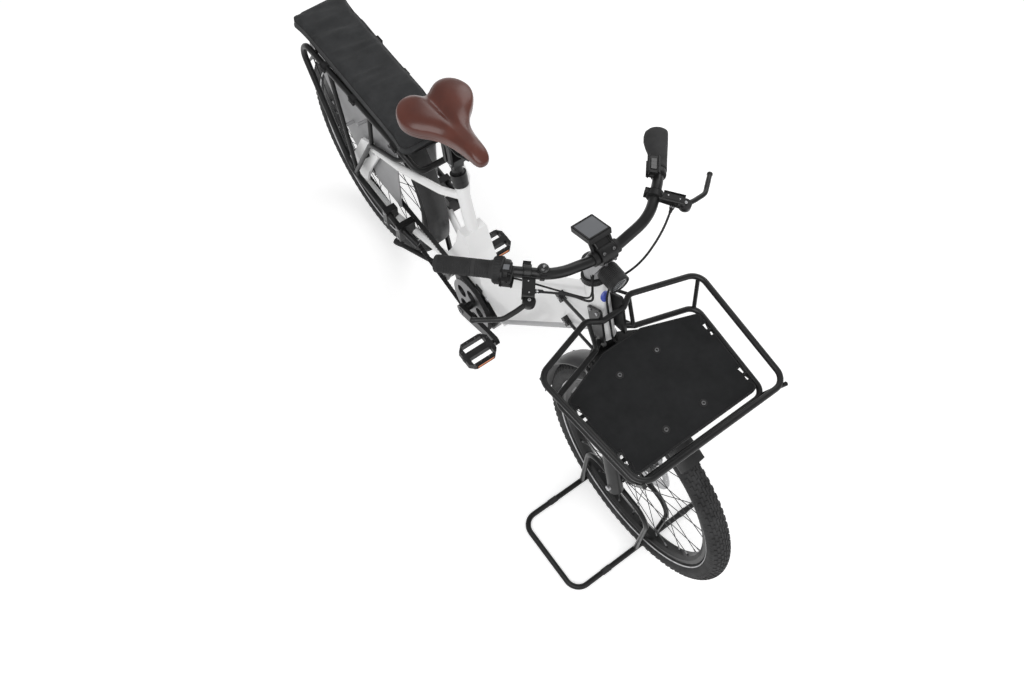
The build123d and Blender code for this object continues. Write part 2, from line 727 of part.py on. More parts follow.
# ---------------------------------------------------------------- dropouts and stays
dropout_outline = [
    ahead(80, AXLE_Z - 12),
    ahead(20, AXLE_Z - 32),
    ahead(-25, AXLE_Z - 20),
    ahead(-35, AXLE_Z + 16),
    ahead(3, AXLE_Z + 60),
    ahead(85, AXLE_Z + 220),
    ahead(145, AXLE_Z + 252),
    ahead(173, AXLE_Z + 220),
    ahead(100, AXLE_Z + 80),
    ahead(80, AXLE_Z + 22),
]
with BuildPart() as dropout:
    add(flat_plate(dropout_outline, STAY_X - DROPOUT_THICKNESS / 2, DROPOUT_THICKNESS, 8))
    add(straight_bar(rear_axle, rear_axle + across * 2 * STAY_X, REAR_AXLE_RADIUS), mode=Mode.SUBTRACT)
save(Compound(children=[dropout.part, mirrored(dropout.part)]), "dropouts")

stay_low = [
    Vector(25, BB_Y + 140, BB_Z + 47),
    Vector(41, BB_Y + 184, BB_Z + 48),
    ahead(230, AXLE_Z + 8, STAY_X),
    ahead(66, AXLE_Z + 4, STAY_X),
]
with BuildPart() as chain_stay:
    add(bent_bar(stay_low, (60, 120), STAY_RADIUS))
    add(dropout.part, mode=Mode.SUBTRACT)
    add(bracket_main, mode=Mode.SUBTRACT)
chain_stay_solid = chain_stay.part.solids().sort_by(SortBy.VOLUME)[-1]
save(Compound(children=[chain_stay_solid, mirrored(chain_stay_solid)]), "chain_stays")

stay_high = [
    seat_top - seat_up * 50 + Vector(8, 0, 0),
    seat_top - seat_up * 54 + Vector(40, 48, 0),
    ahead(305, AXLE_Z + 302, STAY_X - 2),
    ahead(150, AXLE_Z + 236, STAY_X),
]
with BuildPart() as seat_stay:
    add(bent_bar(stay_high, (30, 150), STAY_RADIUS))
    add(dropout.part, mode=Mode.SUBTRACT)
    with BuildSketch(Plane(origin=seat_top, x_dir=across, z_dir=seat_up)):
        Circle(SEAT_TUBE_RADIUS)
    extrude(amount=-SEAT_TUBE_LENGTH, mode=Mode.SUBTRACT)
seat_stay_solid = seat_stay.part.solids().sort_by(SortBy.VOLUME)[-1]
save(Compound(children=[seat_stay_solid, mirrored(seat_stay_solid)]), "seat_stays")

# ---------------------------------------------------------------- cranks, sprockets, belt and pedals
tilt = math.radians(CRANK_TILT)
crank_reach = Vector(0, -math.cos(tilt), math.sin(tilt)) * CRANK_LENGTH
pedal_points = {-1: bottom_bracket + crank_reach, 1: bottom_bracket - crank_reach}
CRANK_OUTER_X = CRANK_INNER_X + CRANK_THICKNESS
PEDAL_LOW_X = CRANK_OUTER_X + PEDAL_GAP
with BuildPart() as cranks:
    for side, pedal_point in pedal_points.items():
        arm_low_x = CRANK_INNER_X if side > 0 else -CRANK_OUTER_X
        arm_circles = (
            (bottom_bracket.Y, bottom_bracket.Z, SPINDLE_RADIUS + 7),
            (pedal_point.Y, pedal_point.Z, PEDAL_AXLE_RADIUS + 9),
        )
        extrude(circle_hull(crosswise((arm_low_x, 0, 0)), arm_circles), amount=CRANK_THICKNESS)
        add(
            straight_bar(
                pedal_point + across * side * CRANK_INNER_X,
                pedal_point + across * side * (PEDAL_LOW_X + PEDAL_LENGTH - 4),
                PEDAL_AXLE_RADIUS,
            )
        )
    add(
        straight_bar(
            bottom_bracket - across * CRANK_OUTER_X,
            bottom_bracket + across * CRANK_OUTER_X,
            SPINDLE_RADIUS,
        )
    )
save(cranks.part, "cranks")

for side, pedal_point in pedal_points.items():
    pedal_centre = pedal_point + across * side * (PEDAL_LOW_X + PEDAL_LENGTH / 2)
    window = Vector(0, PEDAL_WIDTH * 0.26, 0)
    with BuildPart() as pedal:
        with Locations(pedal_centre):
            Box(PEDAL_LENGTH, PEDAL_WIDTH, PEDAL_THICKNESS)
        chamfer(pedal.edges().filter_by(Axis.Z), 15)
        with Locations(pedal_centre - window, pedal_centre + window):
            Box(PEDAL_LENGTH * 0.74, PEDAL_WIDTH * 0.27, 2 * PEDAL_THICKNESS, mode=Mode.SUBTRACT)
        add(
            straight_bar(
                pedal_centre - across * PEDAL_LENGTH,
                pedal_centre + across * PEDAL_LENGTH,
                PEDAL_AXLE_RADIUS + RUNNING_CLEARANCE,
            ),
            mode=Mode.SUBTRACT,
        )
    save(pedal.part, "left_pedal" if side > 0 else "right_pedal")

SPROCKET_ARMS = 5
with BuildPart() as front_sprocket:
    with BuildSketch(crosswise(bottom_bracket + across * (BELT_X - BELT_WIDTH / 2))):
        Circle(FRONT_SPROCKET_RADIUS - FACE_CLEARANCE)
        Circle(SPINDLE_RADIUS, mode=Mode.SUBTRACT)
        with PolarLocations(FRONT_SPROCKET_RADIUS * 0.56, SPROCKET_ARMS, start_angle=20):
            Circle(FRONT_SPROCKET_RADIUS * 0.24, mode=Mode.SUBTRACT)
    extrude(amount=BELT_WIDTH)
save(front_sprocket.part, "front_sprocket")

with BuildPart() as rear_sprocket:
    with BuildSketch(crosswise(rear_axle + across * (BELT_X - BELT_WIDTH / 2))):
        Circle(REAR_SPROCKET_RADIUS - FACE_CLEARANCE)
        Circle(REAR_HUB_END_RADIUS, mode=Mode.SUBTRACT)
    extrude(amount=BELT_WIDTH)
save(rear_sprocket.part, "rear_sprocket")

belt_plane = crosswise((BELT_X - BELT_WIDTH / 2, 0, 0))


def belt_circles(extra):
    return (
        (bottom_bracket.Y, bottom_bracket.Z, FRONT_SPROCKET_RADIUS + extra),
        (rear_axle.Y, rear_axle.Z, REAR_SPROCKET_RADIUS + extra),
    )


with BuildPart() as drive_belt:
    extrude(circle_hull(belt_plane, belt_circles(BELT_THICKNESS)), amount=BELT_WIDTH)
    extrude(circle_hull(belt_plane, belt_circles(0)), amount=BELT_WIDTH, mode=Mode.SUBTRACT)
save(drive_belt.part, "drive_belt")

# ---------------------------------------------------------------- seatpost and saddle
post_head = seat_top + seat_up * ((SEATPOST_HEAD_Z - SEAT_TUBE_TOP_Z) / seat_up.Z)
rail_clamp = post_head + Vector(0, 14, 74)
POST_HEAD_RADIUS = 20
LINK_X = 15
LINK_THICKNESS = 6
CLAMP_HALF_WIDTH = 26
with BuildPart() as seatpost:
    add(straight_bar(seat_top - seat_up * 180, post_head, SEATPOST_RADIUS))
    with BuildSketch(Plane(origin=seat_top + seat_up * SEAT_GAP, x_dir=across, z_dir=seat_up)):
        Circle(SEAT_CLAMP_RADIUS)
    extrude(amount=SEAT_CLAMP_HEIGHT)
    with Locations(post_head):
        Box(2 * LINK_X, 2 * POST_HEAD_RADIUS, 1.6 * POST_HEAD_RADIUS)
save(seatpost.part, "seatpost")

saddle_rear = Vector(0, REAR_Y - SADDLE_REAR_BEFORE_AXLE, SADDLE_TOP_Z)
saddle_low_z = SADDLE_TOP_Z - SADDLE_THICKNESS
lobe_y = saddle_rear.Y - SADDLE_LOBE_RADIUS
nose_y = saddle_rear.Y - SADDLE_LENGTH + SADDLE_NOSE_RADIUS
saddle_plane = Plane(origin=(0, 0, saddle_low_z))
with BuildPart() as saddle:
    lobes = ((-SADDLE_LOBE_X, lobe_y, SADDLE_LOBE_RADIUS), (SADDLE_LOBE_X, lobe_y, SADDLE_LOBE_RADIUS))
    extrude(circle_hull(saddle_plane, lobes), amount=SADDLE_THICKNESS)
    nose = (
        (0, lobe_y, SADDLE_LOBE_RADIUS),
        (0, nose_y + SADDLE_WAIST_BACK, SADDLE_WAIST_RADIUS),
        (0, nose_y, SADDLE_NOSE_RADIUS),
    )
    extrude(circle_hull(saddle_plane, nose), amount=SADDLE_THICKNESS)
    fillet(saddle.faces().sort_by(Axis.Z)[-1].edges(), 12)
save(saddle.part, "saddle")

rail_z = rail_clamp.Z
with BuildPart() as saddle_clamp:
    for side in (-1, 1):
        link_x = LINK_X + SEAT_GAP if side > 0 else -LINK_X - SEAT_GAP - LINK_THICKNESS
        for shift in (-12, 12):
            link_low = post_head + Vector(0, shift, 0)
            link_high = rail_clamp + Vector(0, shift, -8)
            link_circles = ((link_low.Y, link_low.Z, 7), (link_high.Y, link_high.Z, 7))
            extrude(circle_hull(crosswise((link_x, 0, 0)), link_circles), amount=LINK_THICKNESS)
        rail = [
            Vector(side * 12, nose_y + 30, saddle_low_z - SADDLE_RAIL_RADIUS - SEAT_GAP),
            Vector(side * 20, nose_y + 70, rail_z),
            Vector(side * 22, lobe_y - 10, rail_z),
            Vector(side * 34, lobe_y + 20, saddle_low_z - SADDLE_RAIL_RADIUS - SEAT_GAP),
        ]
        add(bent_bar(rail, (25, 20), SADDLE_RAIL_RADIUS))
    with Locations(rail_clamp):
        Box(2 * CLAMP_HALF_WIDTH, 40, 14)
save(saddle_clamp.part, "saddle_clamp")

# ---------------------------------------------------------------- mudguards
guard_edge = GUARD_INNER_RADIUS - GUARD_CROWN


def make_guard(axle, start_angle, end_angle):
    """Curved mudguard strip; angles run from the rear, over the top, to the front."""
    inner_top = (0, GUARD_INNER_RADIUS)
    outer_top = (0, GUARD_INNER_RADIUS + GUARD_WALL)
    with BuildPart() as guard:
        section = wheel_section(axle).rotated((start_angle - 90, 0, 0))
        with BuildSketch(section):
            with BuildLine():
                ThreePointArc((-GUARD_HALF_WIDTH, guard_edge), inner_top, (GUARD_HALF_WIDTH, guard_edge))
                Line((GUARD_HALF_WIDTH, guard_edge), (GUARD_HALF_WIDTH, guard_edge + GUARD_WALL))
                ThreePointArc(
                    (GUARD_HALF_WIDTH, guard_edge + GUARD_WALL),
                    outer_top,
                    (-GUARD_HALF_WIDTH, guard_edge + GUARD_WALL),
                )
                Line((-GUARD_HALF_WIDTH, guard_edge + GUARD_WALL), (-GUARD_HALF_WIDTH, guard_edge))
            make_face()
        revolve(axis=Axis(axle, across), revolution_arc=end_angle - start_angle)
    return guard.part


def wheel_point(axle, angle_deg, radius, x=0):
    turn = math.radians(angle_deg)
    return axle + Vector(x, radius * math.cos(turn), radius * math.sin(turn))


GUARD_STAY_ANGLE = 38
GUARD_TAB_WIDTH = 30
with BuildPart() as rear_mudguard:
    add(make_guard(rear_axle, REAR_GUARD_START, REAR_GUARD_END))
    for side in (-1, 1):
        stay_root = rear_axle + Vector(side * (DROPOUT_INNER_X - SEAT_GAP - GUARD_STAY_RADIUS), 22, 6)
        stay_end = wheel_point(rear_axle, GUARD_STAY_ANGLE, guard_edge + 1, side * (GUARD_HALF_WIDTH - 1))
        add(straight_bar(stay_root, stay_end, GUARD_STAY_RADIUS))
    tab_low = AXLE_Z + GUARD_INNER_RADIUS + GUARD_WALL - 1
    tab_height = DECK_TOP_Z - DECK_THICKNESS - SEAT_GAP - tab_low
    with Locations((0, REAR_Y, tab_low)):
        Box(GUARD_TAB_WIDTH, GUARD_TAB_WIDTH, tab_height, align=HUB_LOW)
save(rear_mudguard.part, "rear_mudguard")

FRONT_STAY_ANGLE = -3
with BuildPart() as front_mudguard:
    add(make_guard(front_axle, FRONT_GUARD_START, FRONT_GUARD_END))
    for side in (-1, 1):
        stay_root = steering_point(side * (LEG_X - LEG_RADIUS / 2), -FORK_OFFSET + LEG_RADIUS - 3, 4)
        stay_end = wheel_point(front_axle, FRONT_STAY_ANGLE, guard_edge + 1, side * (GUARD_HALF_WIDTH - 1))
        add(straight_bar(stay_root, stay_end, GUARD_STAY_RADIUS))
    tab_low = GUARD_INNER_RADIUS + GUARD_WALL - 2
    with BuildSketch(steering(tab_low)):
        with Locations((0, -FORK_OFFSET + 14)):
            Rectangle(GUARD_TAB_WIDTH, 6)
    extrude(amount=crown_low - SEAT_GAP - tab_low)
    add(fork_lowers.part, mode=Mode.SUBTRACT)
save(front_mudguard.part.solids().sort_by(SortBy.VOLUME)[-1], "front_mudguard")

# ---------------------------------------------------------------- brake calipers
CALIPER_WIDTH = 24
CALIPER_LENGTH = 42
CALIPER_HEIGHT = 34
with BuildPart() as front_caliper:
    caliper_centre = steering_point(FRONT_ROTOR_X + ROTOR_THICKNESS / 2, -FORK_OFFSET + 60, 58)
    caliper_place = Plane(origin=caliper_centre, x_dir=across, z_dir=(steer_up + steer_back).normalized())
    with BuildSketch(caliper_place):
        Rectangle(CALIPER_WIDTH, CALIPER_LENGTH)
    extrude(amount=CALIPER_HEIGHT / 2, both=True)
    leg_side = steering_point(LEG_X, -FORK_OFFSET, 58)
    add(straight_bar(leg_side, steering_point(LEG_X - 18, -FORK_OFFSET + 52, 58), 9))
    slot_x = FRONT_ROTOR_X + ROTOR_THICKNESS / 2 - CALIPER_SLOT / 2
    with BuildSketch(crosswise(front_axle + across * slot_x)):
        Circle(ROTOR_RADIUS + 3)
    extrude(amount=CALIPER_SLOT, mode=Mode.SUBTRACT)
    add(fork_lowers.part, mode=Mode.SUBTRACT)
save(front_caliper.part.solids().sort_by(SortBy.VOLUME)[-1], "front_brake_caliper")

with BuildPart() as rear_caliper:
    caliper_centre = ahead(74, AXLE_Z + 30, REAR_ROTOR_X + ROTOR_THICKNESS / 2)
    with Locations(caliper_centre):
        Box(CALIPER_WIDTH, CALIPER_LENGTH, CALIPER_HEIGHT)
    boss_start = caliper_centre + across * (CALIPER_WIDTH / 2 - 1)
    boss_end = Vector(DROPOUT_INNER_X - SEAT_GAP, caliper_centre.Y, caliper_centre.Z)
    add(straight_bar(boss_start, boss_end, 8))
    with BuildSketch(crosswise(rear_axle + across * (REAR_ROTOR_X + ROTOR_THICKNESS / 2 - CALIPER_SLOT / 2))):
        Circle(ROTOR_RADIUS + 3)
    extrude(amount=CALIPER_SLOT, mode=Mode.SUBTRACT)
save(rear_caliper.part, "rear_brake_caliper")

# ---------------------------------------------------------------- rear rack
RAIL_REAR_AHEAD = -232
RAIL_BEND_AHEAD = 30
RAIL_FRONT_AHEAD = 305
HOOP_AHEAD = 357
HOOP_HALF = 60
HOOP_DROP = 36
RAIL_REAR_X = 88
RAIL_FRONT_X = 74
rail_side = [
    ahead(365, RAIL_LOW_Z - 24, -88),
    ahead(290, RAIL_LOW_Z - 4, -RAIL_X),
    ahead(RAIL_BEND_AHEAD, RAIL_LOW_Z, -RAIL_X),
    ahead(RAIL_REAR_AHEAD, RAIL_TOP_Z, -RAIL_REAR_X),
    ahead(RAIL_FRONT_AHEAD, RAIL_TOP_Z, -RAIL_FRONT_X),
    ahead(HOOP_AHEAD, RAIL_TOP_Z - HOOP_DROP, -HOOP_HALF),
]
rail_other = [Vector(-point.X, point.Y, point.Z) for point in reversed(rail_side)]
rail_radii = (70, 70, 38, 40, 35)


def upper_rail_x(ahead_distance):
    """Side distance of the upper rail's centre at a place along it."""
    front, rear = rail_side[4], rail_side[3]
    share = (REAR_Y - ahead_distance - front.Y) / (rear.Y - front.Y)
    return -(front.X + (rear.X - front.X) * share)


DECK_CROSS_AHEAD = (-140, 265)
with BuildPart() as rear_rack_rails:
    add(bent_bar(rail_side + rail_other, rail_radii + tuple(reversed(rail_radii)), RACK_TUBE_RADIUS))
    cross_z = DECK_TOP_Z - DECK_THICKNESS - SEAT_GAP - RACK_STRUT_RADIUS
    for distance in DECK_CROSS_AHEAD:
        cross_x = upper_rail_x(distance)
        cross_right = ahead(distance, cross_z, -cross_x)
        cross_left = ahead(distance, cross_z, cross_x)
        add(straight_bar(cross_right, cross_left, RACK_STRUT_RADIUS))
    for side in (-1, 1):
        low_strut = ahead(70, RAIL_LOW_Z, side * RAIL_X)
        high_strut = ahead(-55, RAIL_TOP_Z, side * upper_rail_x(-55))
        add(straight_bar(low_strut, high_strut, RACK_STRUT_RADIUS))
        brace = [
            ahead(53, RAIL_LOW_Z, side * RAIL_X),
            ahead(157, AXLE_Z + 272, side * (STAY_X + 14)),
            ahead(285, AXLE_Z + 334, side * (STAY_X + 10)),
            ahead(RAIL_FRONT_AHEAD + 16, RAIL_TOP_Z - 10, side * (RAIL_FRONT_X - 4)),
        ]
        add(bent_bar(brace, (40, 60), RACK_STRUT_RADIUS))
        post_foot = ahead(165, AXLE_Z + 274, side * (STAY_X + 14))
        add(straight_bar(post_foot, ahead(145, RAIL_TOP_Z, side * upper_rail_x(145)), RACK_STRUT_RADIUS))
        boss = ahead(115, AXLE_Z + 180, side * (STAY_X + DROPOUT_THICKNESS / 2 + SEAT_GAP))
        add(straight_bar(boss, boss + across * side * 12, 8))
save(rear_rack_rails.part, "rear_rack_rails")

CLAMP_LENGTH = 22
CLAMP_HEIGHT = 62
CLAMP_WRAP = 3
clamp_pieces = []
for distance in (230, 300):
    stay_share = (REAR_Y - distance - stay_low[1].Y) / (stay_low[2].Y - stay_low[1].Y)
    stay_x = stay_low[1].X + (stay_low[2].X - stay_low[1].X) * min(stay_share, 1)
    clamp_low_x = stay_x - CLAMP_WRAP
    clamp_high_x = RAIL_X + RACK_TUBE_RADIUS + CLAMP_WRAP
    with BuildPart() as clamp:
        with Locations(ahead(distance, RAIL_LOW_Z - 18, (clamp_low_x + clamp_high_x) / 2)):
            Box(clamp_high_x - clamp_low_x, CLAMP_LENGTH, CLAMP_HEIGHT)
        add(chain_stay_solid, mode=Mode.SUBTRACT)
        add(rear_rack_rails.part, mode=Mode.SUBTRACT)
    block = clamp.part.solids().sort_by(SortBy.VOLUME)[-1]
    clamp_pieces += [block, mirrored(block)]
save(Compound(children=clamp_pieces), "rail_clamps")

DECK_FRONT_AHEAD = 325
DECK_REAR_AHEAD = -240
deck_middle = (DECK_FRONT_AHEAD + DECK_REAR_AHEAD) / 2
with BuildPart() as rear_rack_deck:
    with BuildSketch(Plane(origin=ahead(deck_middle, DECK_TOP_Z - DECK_THICKNESS))):
        RectangleRounded(2 * DECK_HALF_WIDTH, DECK_FRONT_AHEAD - DECK_REAR_AHEAD, 20)
    extrude(amount=DECK_THICKNESS)
save(rear_rack_deck.part, "rear_rack_deck")

CUSHION_REAR_AHEAD = -265
cushion_middle = CUSHION_REAR_AHEAD + CUSHION_LENGTH / 2
with BuildPart() as rear_cushion:
    with BuildSketch(Plane(origin=ahead(cushion_middle, DECK_TOP_Z + SEAT_GAP))):
        RectangleRounded(2 * CUSHION_HALF_WIDTH, CUSHION_LENGTH, 32)
    extrude(amount=CUSHION_THICKNESS)
    fillet(rear_cushion.faces().sort_by(Axis.Z)[-1].edges(), 8)
save(rear_cushion.part, "rear_cushion")

panel_outline = [
    ahead(247, RAIL_LOW_Z + 8),
    ahead(115, RAIL_LOW_Z + 8),
    ahead(97, RAIL_LOW_Z + 48),
    ahead(3, RAIL_LOW_Z + 48),
    ahead(-206, RAIL_TOP_Z - 18),
    ahead(247, RAIL_TOP_Z - 18),
]
with BuildPart() as side_panel:
    add(flat_plate(panel_outline, PANEL_X, PANEL_THICKNESS, 8))
    for distance, height in ((8, 546), (100, 640)):
        boss_root = ahead(distance, height, PANEL_X + 1)
        add(straight_bar(boss_root, boss_root + across * 33, 5))
    add(rear_rack_rails.part, mode=Mode.SUBTRACT)
panel_solid = side_panel.part.solids().sort_by(SortBy.VOLUME)[-1]
save(Compound(children=[panel_solid, mirrored(panel_solid)]), "side_panels")

LIGHT_SIZE = (80, 26, 26)
with BuildPart() as rear_light:
    light_top = DECK_TOP_Z - DECK_THICKNESS - SEAT_GAP
    with Locations(ahead(DECK_REAR_AHEAD + LIGHT_SIZE[1] / 2, light_top - LIGHT_SIZE[2] / 2)):
        Box(*LIGHT_SIZE)
    fillet(rear_light.edges().filter_by(Axis.Y), 5)
save(rear_light.part, "rear_light")

# ---------------------------------------------------------------- front rack, fixed to the head tube
def mirror_path(points):
    """The same corners on the other side, in reverse order."""
    return [Vector(-point.X, point.Y, point.Z) for point in reversed(points)]


rim_left = [
    back(207, FRONT_RIM_Z, 30),
    back(227, FRONT_RIM_Z, 62),
    back(178, FRONT_RIM_Z, 227),
    back(-134, FRONT_RIM_Z, 202),
]
floor_left = [
    back(200, FRONT_FLOOR_Z, 34),
    back(183, FRONT_FLOOR_Z, 58),
    back(140, FRONT_FLOOR_Z, 205),
    back(-115, FRONT_FLOOR_Z, 185),
]
FLOOR_CROSS_BACK = (75, -55)
POST_INSET = 4
HEAD_PLATE_X = HEAD_TUBE_RADIUS + SEAT_GAP
PLATE_OUTER_X = HEAD_PLATE_X + HEAD_PLATE_THICKNESS
RACK_STAY_RADIUS = 4
stay_blocks = (back(338, 806, 36), back(306, 738, 36))
with BuildPart() as front_rack_frame:
    rim_radii = (20, 20, 35, 35)
    rim_path = rim_left + mirror_path(rim_left)
    add(bent_bar(rim_path, rim_radii + tuple(reversed(rim_radii)), FRONT_RACK_TUBE, closed=True))
    floor_radii = (14, 30, 30)
    floor_path = floor_left + mirror_path(floor_left)
    add(bent_bar(floor_path, floor_radii + tuple(reversed(floor_radii)), FRONT_RACK_TUBE))
    for side in (-1, 1):
        for floor_corner, rim_corner in zip(floor_left[1:], rim_left[1:]):
            low_end = Vector(side * (floor_corner.X - POST_INSET), floor_corner.Y, floor_corner.Z)
            top_end = Vector(side * (rim_corner.X - POST_INSET), rim_corner.Y - POST_INSET, rim_corner.Z)
            add(straight_bar(low_end, top_end, FRONT_CROSS_TUBE))
        for block, rim_end in zip(stay_blocks, (rim_left[1], floor_left[1])):
            add(
                straight_bar(
                    Vector(side * block.X, block.Y, block.Z),
                    Vector(side * rim_end.X, rim_end.Y, rim_end.Z),
                    RACK_STAY_RADIUS,
                )
            )
    for cross_back in FLOOR_CROSS_BACK:
        share = (floor_left[2].Y - FRONT_Y - cross_back) / (floor_left[2].Y - floor_left[3].Y)
        cross_x = floor_left[2].X + (floor_left[3].X - floor_left[2].X) * share
        add(
            straight_bar(
                back(cross_back, FRONT_FLOOR_Z, -cross_x),
                back(cross_back, FRONT_FLOOR_Z, cross_x),
                FRONT_CROSS_TUBE,
            )
        )
    plate_outline = [
        steering_point(0, -2, 494),
        steering_point(0, -2, 594),
        steering_point(0, -50, 606),
        steering_point(0, -46, 488),
    ]
    for low_x in (-PLATE_OUTER_X, HEAD_PLATE_X):
        add(flat_plate(plate_outline, low_x, HEAD_PLATE_THICKNESS, 6))
save(front_rack_frame.part, "front_rack_frame")

BLOCK_SIZE = (16, 24, 16)
stay_block_pieces = []
for block in stay_blocks:
    with BuildPart() as stay_block:
        with Locations(Location(block, (90 - HEAD_ANGLE, 0, 0))):
            Box(*BLOCK_SIZE)
        add(tube_blank.part, mode=Mode.SUBTRACT)
        add(front_rack_frame.part, mode=Mode.SUBTRACT)
    block_solid = stay_block.part.solids().sort_by(SortBy.VOLUME)[-1]
    stay_block_pieces += [block_solid, mirrored(block_solid)]
save(Compound(children=stay_block_pieces), "rack_stay_blocks")

BOARD_LOW = FRONT_FLOOR_Z + FRONT_CROSS_TUBE + SEAT_GAP
board_corners = [(56, 166), (192, 118), (173, -100)]
NOTCH_SIZE = (10, 34)
with BuildPart() as front_rack_board:
    with BuildSketch(Plane(origin=(0, FRONT_Y, BOARD_LOW))) as board:
        with BuildLine():
            Polyline(*board_corners, *[(-x, y) for x, y in reversed(board_corners)], close=True)
        make_face()
        fillet(board.vertices(), 12)
        for side in (-1, 1):
            with Locations((side * 188, 75), (side * 178, -55)):
                Rectangle(2 * NOTCH_SIZE[0], NOTCH_SIZE[1], mode=Mode.SUBTRACT)
    extrude(amount=FRONT_BOARD_THICKNESS)
    chamfer(front_rack_board.faces().sort_by(Axis.Z)[-1].edges(), 1)
save(front_rack_board.part, "front_rack_board")

# ---------------------------------------------------------------- wire floor stand that holds the front wheel
cross_side = [
    Vector(STAND_HALF_LENGTH, FRONT_Y - STAND_HALF_WIDTH, STAND_BAR_RADIUS),
    Vector(STAND_HALF_LENGTH, FRONT_Y + STAND_HALF_WIDTH, STAND_BAR_RADIUS),
]
tyre_shoulder = (RIM_SEAT_RADIUS + TYRE_RADIUS) / 2
widest_z = TYRE_RADIUS - math.sqrt(tyre_shoulder**2 - STAND_HALF_WIDTH**2)
hoop_grip_x = TYRE_WIDTH / 2 + SEAT_GAP + HOOP_BAR_RADIUS
hoop_lean = (STAND_HOOP_X - hoop_grip_x) / (RIGHT_HOOP_HEIGHT - widest_z)


def hoop_x(level):
    """The hoops lean out a little above the tyre's widest place, which they hold."""
    return hoop_grip_x + hoop_lean * (level - widest_z)


with BuildPart() as floor_stand:
    add(bent_bar(cross_side + mirror_path(cross_side), (40, 40, 40, 40), STAND_BAR_RADIUS, closed=True))
    for side, height in ((-1, RIGHT_HOOP_HEIGHT), (1, LEFT_HOOP_HEIGHT)):
        hoop = [
            Vector(side * hoop_x(level), FRONT_Y + end * STAND_HALF_WIDTH, level)
            for end, level in ((-1, STAND_BAR_RADIUS), (-1, height), (1, height), (1, STAND_BAR_RADIUS))
        ]
        add(bent_bar(hoop, (60, 60), HOOP_BAR_RADIUS))
save(floor_stand.part, "floor_stand")

# ---------------------------------------------------------------- folding two-leg stand behind the motor
prop_pivot = ahead(PROP_PIVOT_BEFORE_AXLE, PROP_PIVOT_Z)
PROP_PIN_RADIUS = 5
PROP_HUB_HALF = 28
PROP_FOOT_X = 88
PROP_STRAIGHT = 30
MOUNT_LUG_THICKNESS = 7
MOUNT_LUG_X = PROP_HUB_HALF + FACE_CLEARANCE
with BuildPart() as kickstand:
    hub_reach = across * PROP_HUB_HALF
    add(straight_bar(prop_pivot - hub_reach, prop_pivot + hub_reach, PROP_HUB_RADIUS))
    for side in (-1, 1):
        leg = [
            prop_pivot + across * side * (PROP_HUB_HALF - PROP_LEG_RADIUS - 3),
            prop_pivot + Vector(side * (PROP_HUB_HALF - PROP_LEG_RADIUS - 3), PROP_STRAIGHT, 0),
            prop_pivot + Vector(side * PROP_FOOT_X, PROP_LEG_LENGTH - PROP_LEG_RADIUS / 2, 0),
        ]
        add(bent_bar(leg, (24,), PROP_LEG_RADIUS))
    add(
        straight_bar(
            prop_pivot - across * 2 * PROP_HUB_HALF,
            prop_pivot + across * 2 * PROP_HUB_HALF,
            PROP_PIN_RADIUS + RUNNING_CLEARANCE,
        ),
        mode=Mode.SUBTRACT,
    )
save(kickstand.part, "kickstand")

lug_top = by_crank(128, 34)
LUG_RADIUS = 13
with BuildPart() as kickstand_mount:
    for low_x in (-MOUNT_LUG_X - MOUNT_LUG_THICKNESS, MOUNT_LUG_X):
        lug_circles = ((prop_pivot.Y, prop_pivot.Z, LUG_RADIUS), (lug_top.Y, lug_top.Z, LUG_RADIUS + 5))
        extrude(circle_hull(crosswise((low_x, 0, 0)), lug_circles), amount=MOUNT_LUG_THICKNESS)
    pin_half = MOUNT_LUG_X + MOUNT_LUG_THICKNESS
    add(straight_bar(prop_pivot - across * pin_half, prop_pivot + across * pin_half, PROP_PIN_RADIUS))
    add(bracket_main, mode=Mode.SUBTRACT)
    add(motor.part, mode=Mode.SUBTRACT)
save(kickstand_mount.part, "kickstand_mount")

# ---------------------------------------------------------------- brake hoses and shift cable
HOSE_RADIUS = 2.5
CABLE_RADIUS = 2


def run_radii(points):
    """Largest arcs that the runs leave room for, one for each corner."""
    radii = []
    for before, corner, after in zip(points, points[1:], points[2:]):
        first = corner - before
        second = after - corner
        half_turn = math.radians(first.get_angle(second) / 2)
        radii.append(0.45 * min(first.length, second.length) / math.tan(half_turn))
    return radii


front_hose_route = [
    bar_point(1, 188, 5, 19),
    bar_point(1, 126, -34, 10),
    bar_point(1, 62, -52, -28),
    steering_point(10, -42, 655),
    steering_point(0, -31.6, 612),
    steering_point(0, -33.4, 482),
    steering_point(12, -52, 468),
    steering_point(32, -84, 466),
    steering_point(62, -86, 425),
    steering_point(86, -84, 370),
    steering_point(95, -52, 290),
    steering_point(95, -44, 180),
    steering_point(90, -10, 96),
    steering_point(56, 18, 78),
]
rear_hose_route = [
    bar_point(-1, 188, 5, 19),
    bar_point(-1, 126, -40, 10),
    bar_point(-1, 76, -66, -42),
    steering_point(-38, -42, 672),
    steering_point(-12, -16, 690),
]
shifter_face = grip_frame(-1, GRIP_LENGTH + 2 * SEAT_GAP + SHIFTER_LENGTH)
shifter_below = across.cross(shifter_face.z_dir).normalized()
shift_route = [
    shifter_face.origin + shifter_below * (BAR_RADIUS + SHIFTER_RADIUS) / 2,
    bar_point(-1, 184, 50, 0),
    bar_point(-1, 112, -24, -24),
    bar_point(-1, 60, -40, -76),
    steering_point(-30, -30, 656),
    steering_point(-16, -12, 684),
]
cable_pieces = []
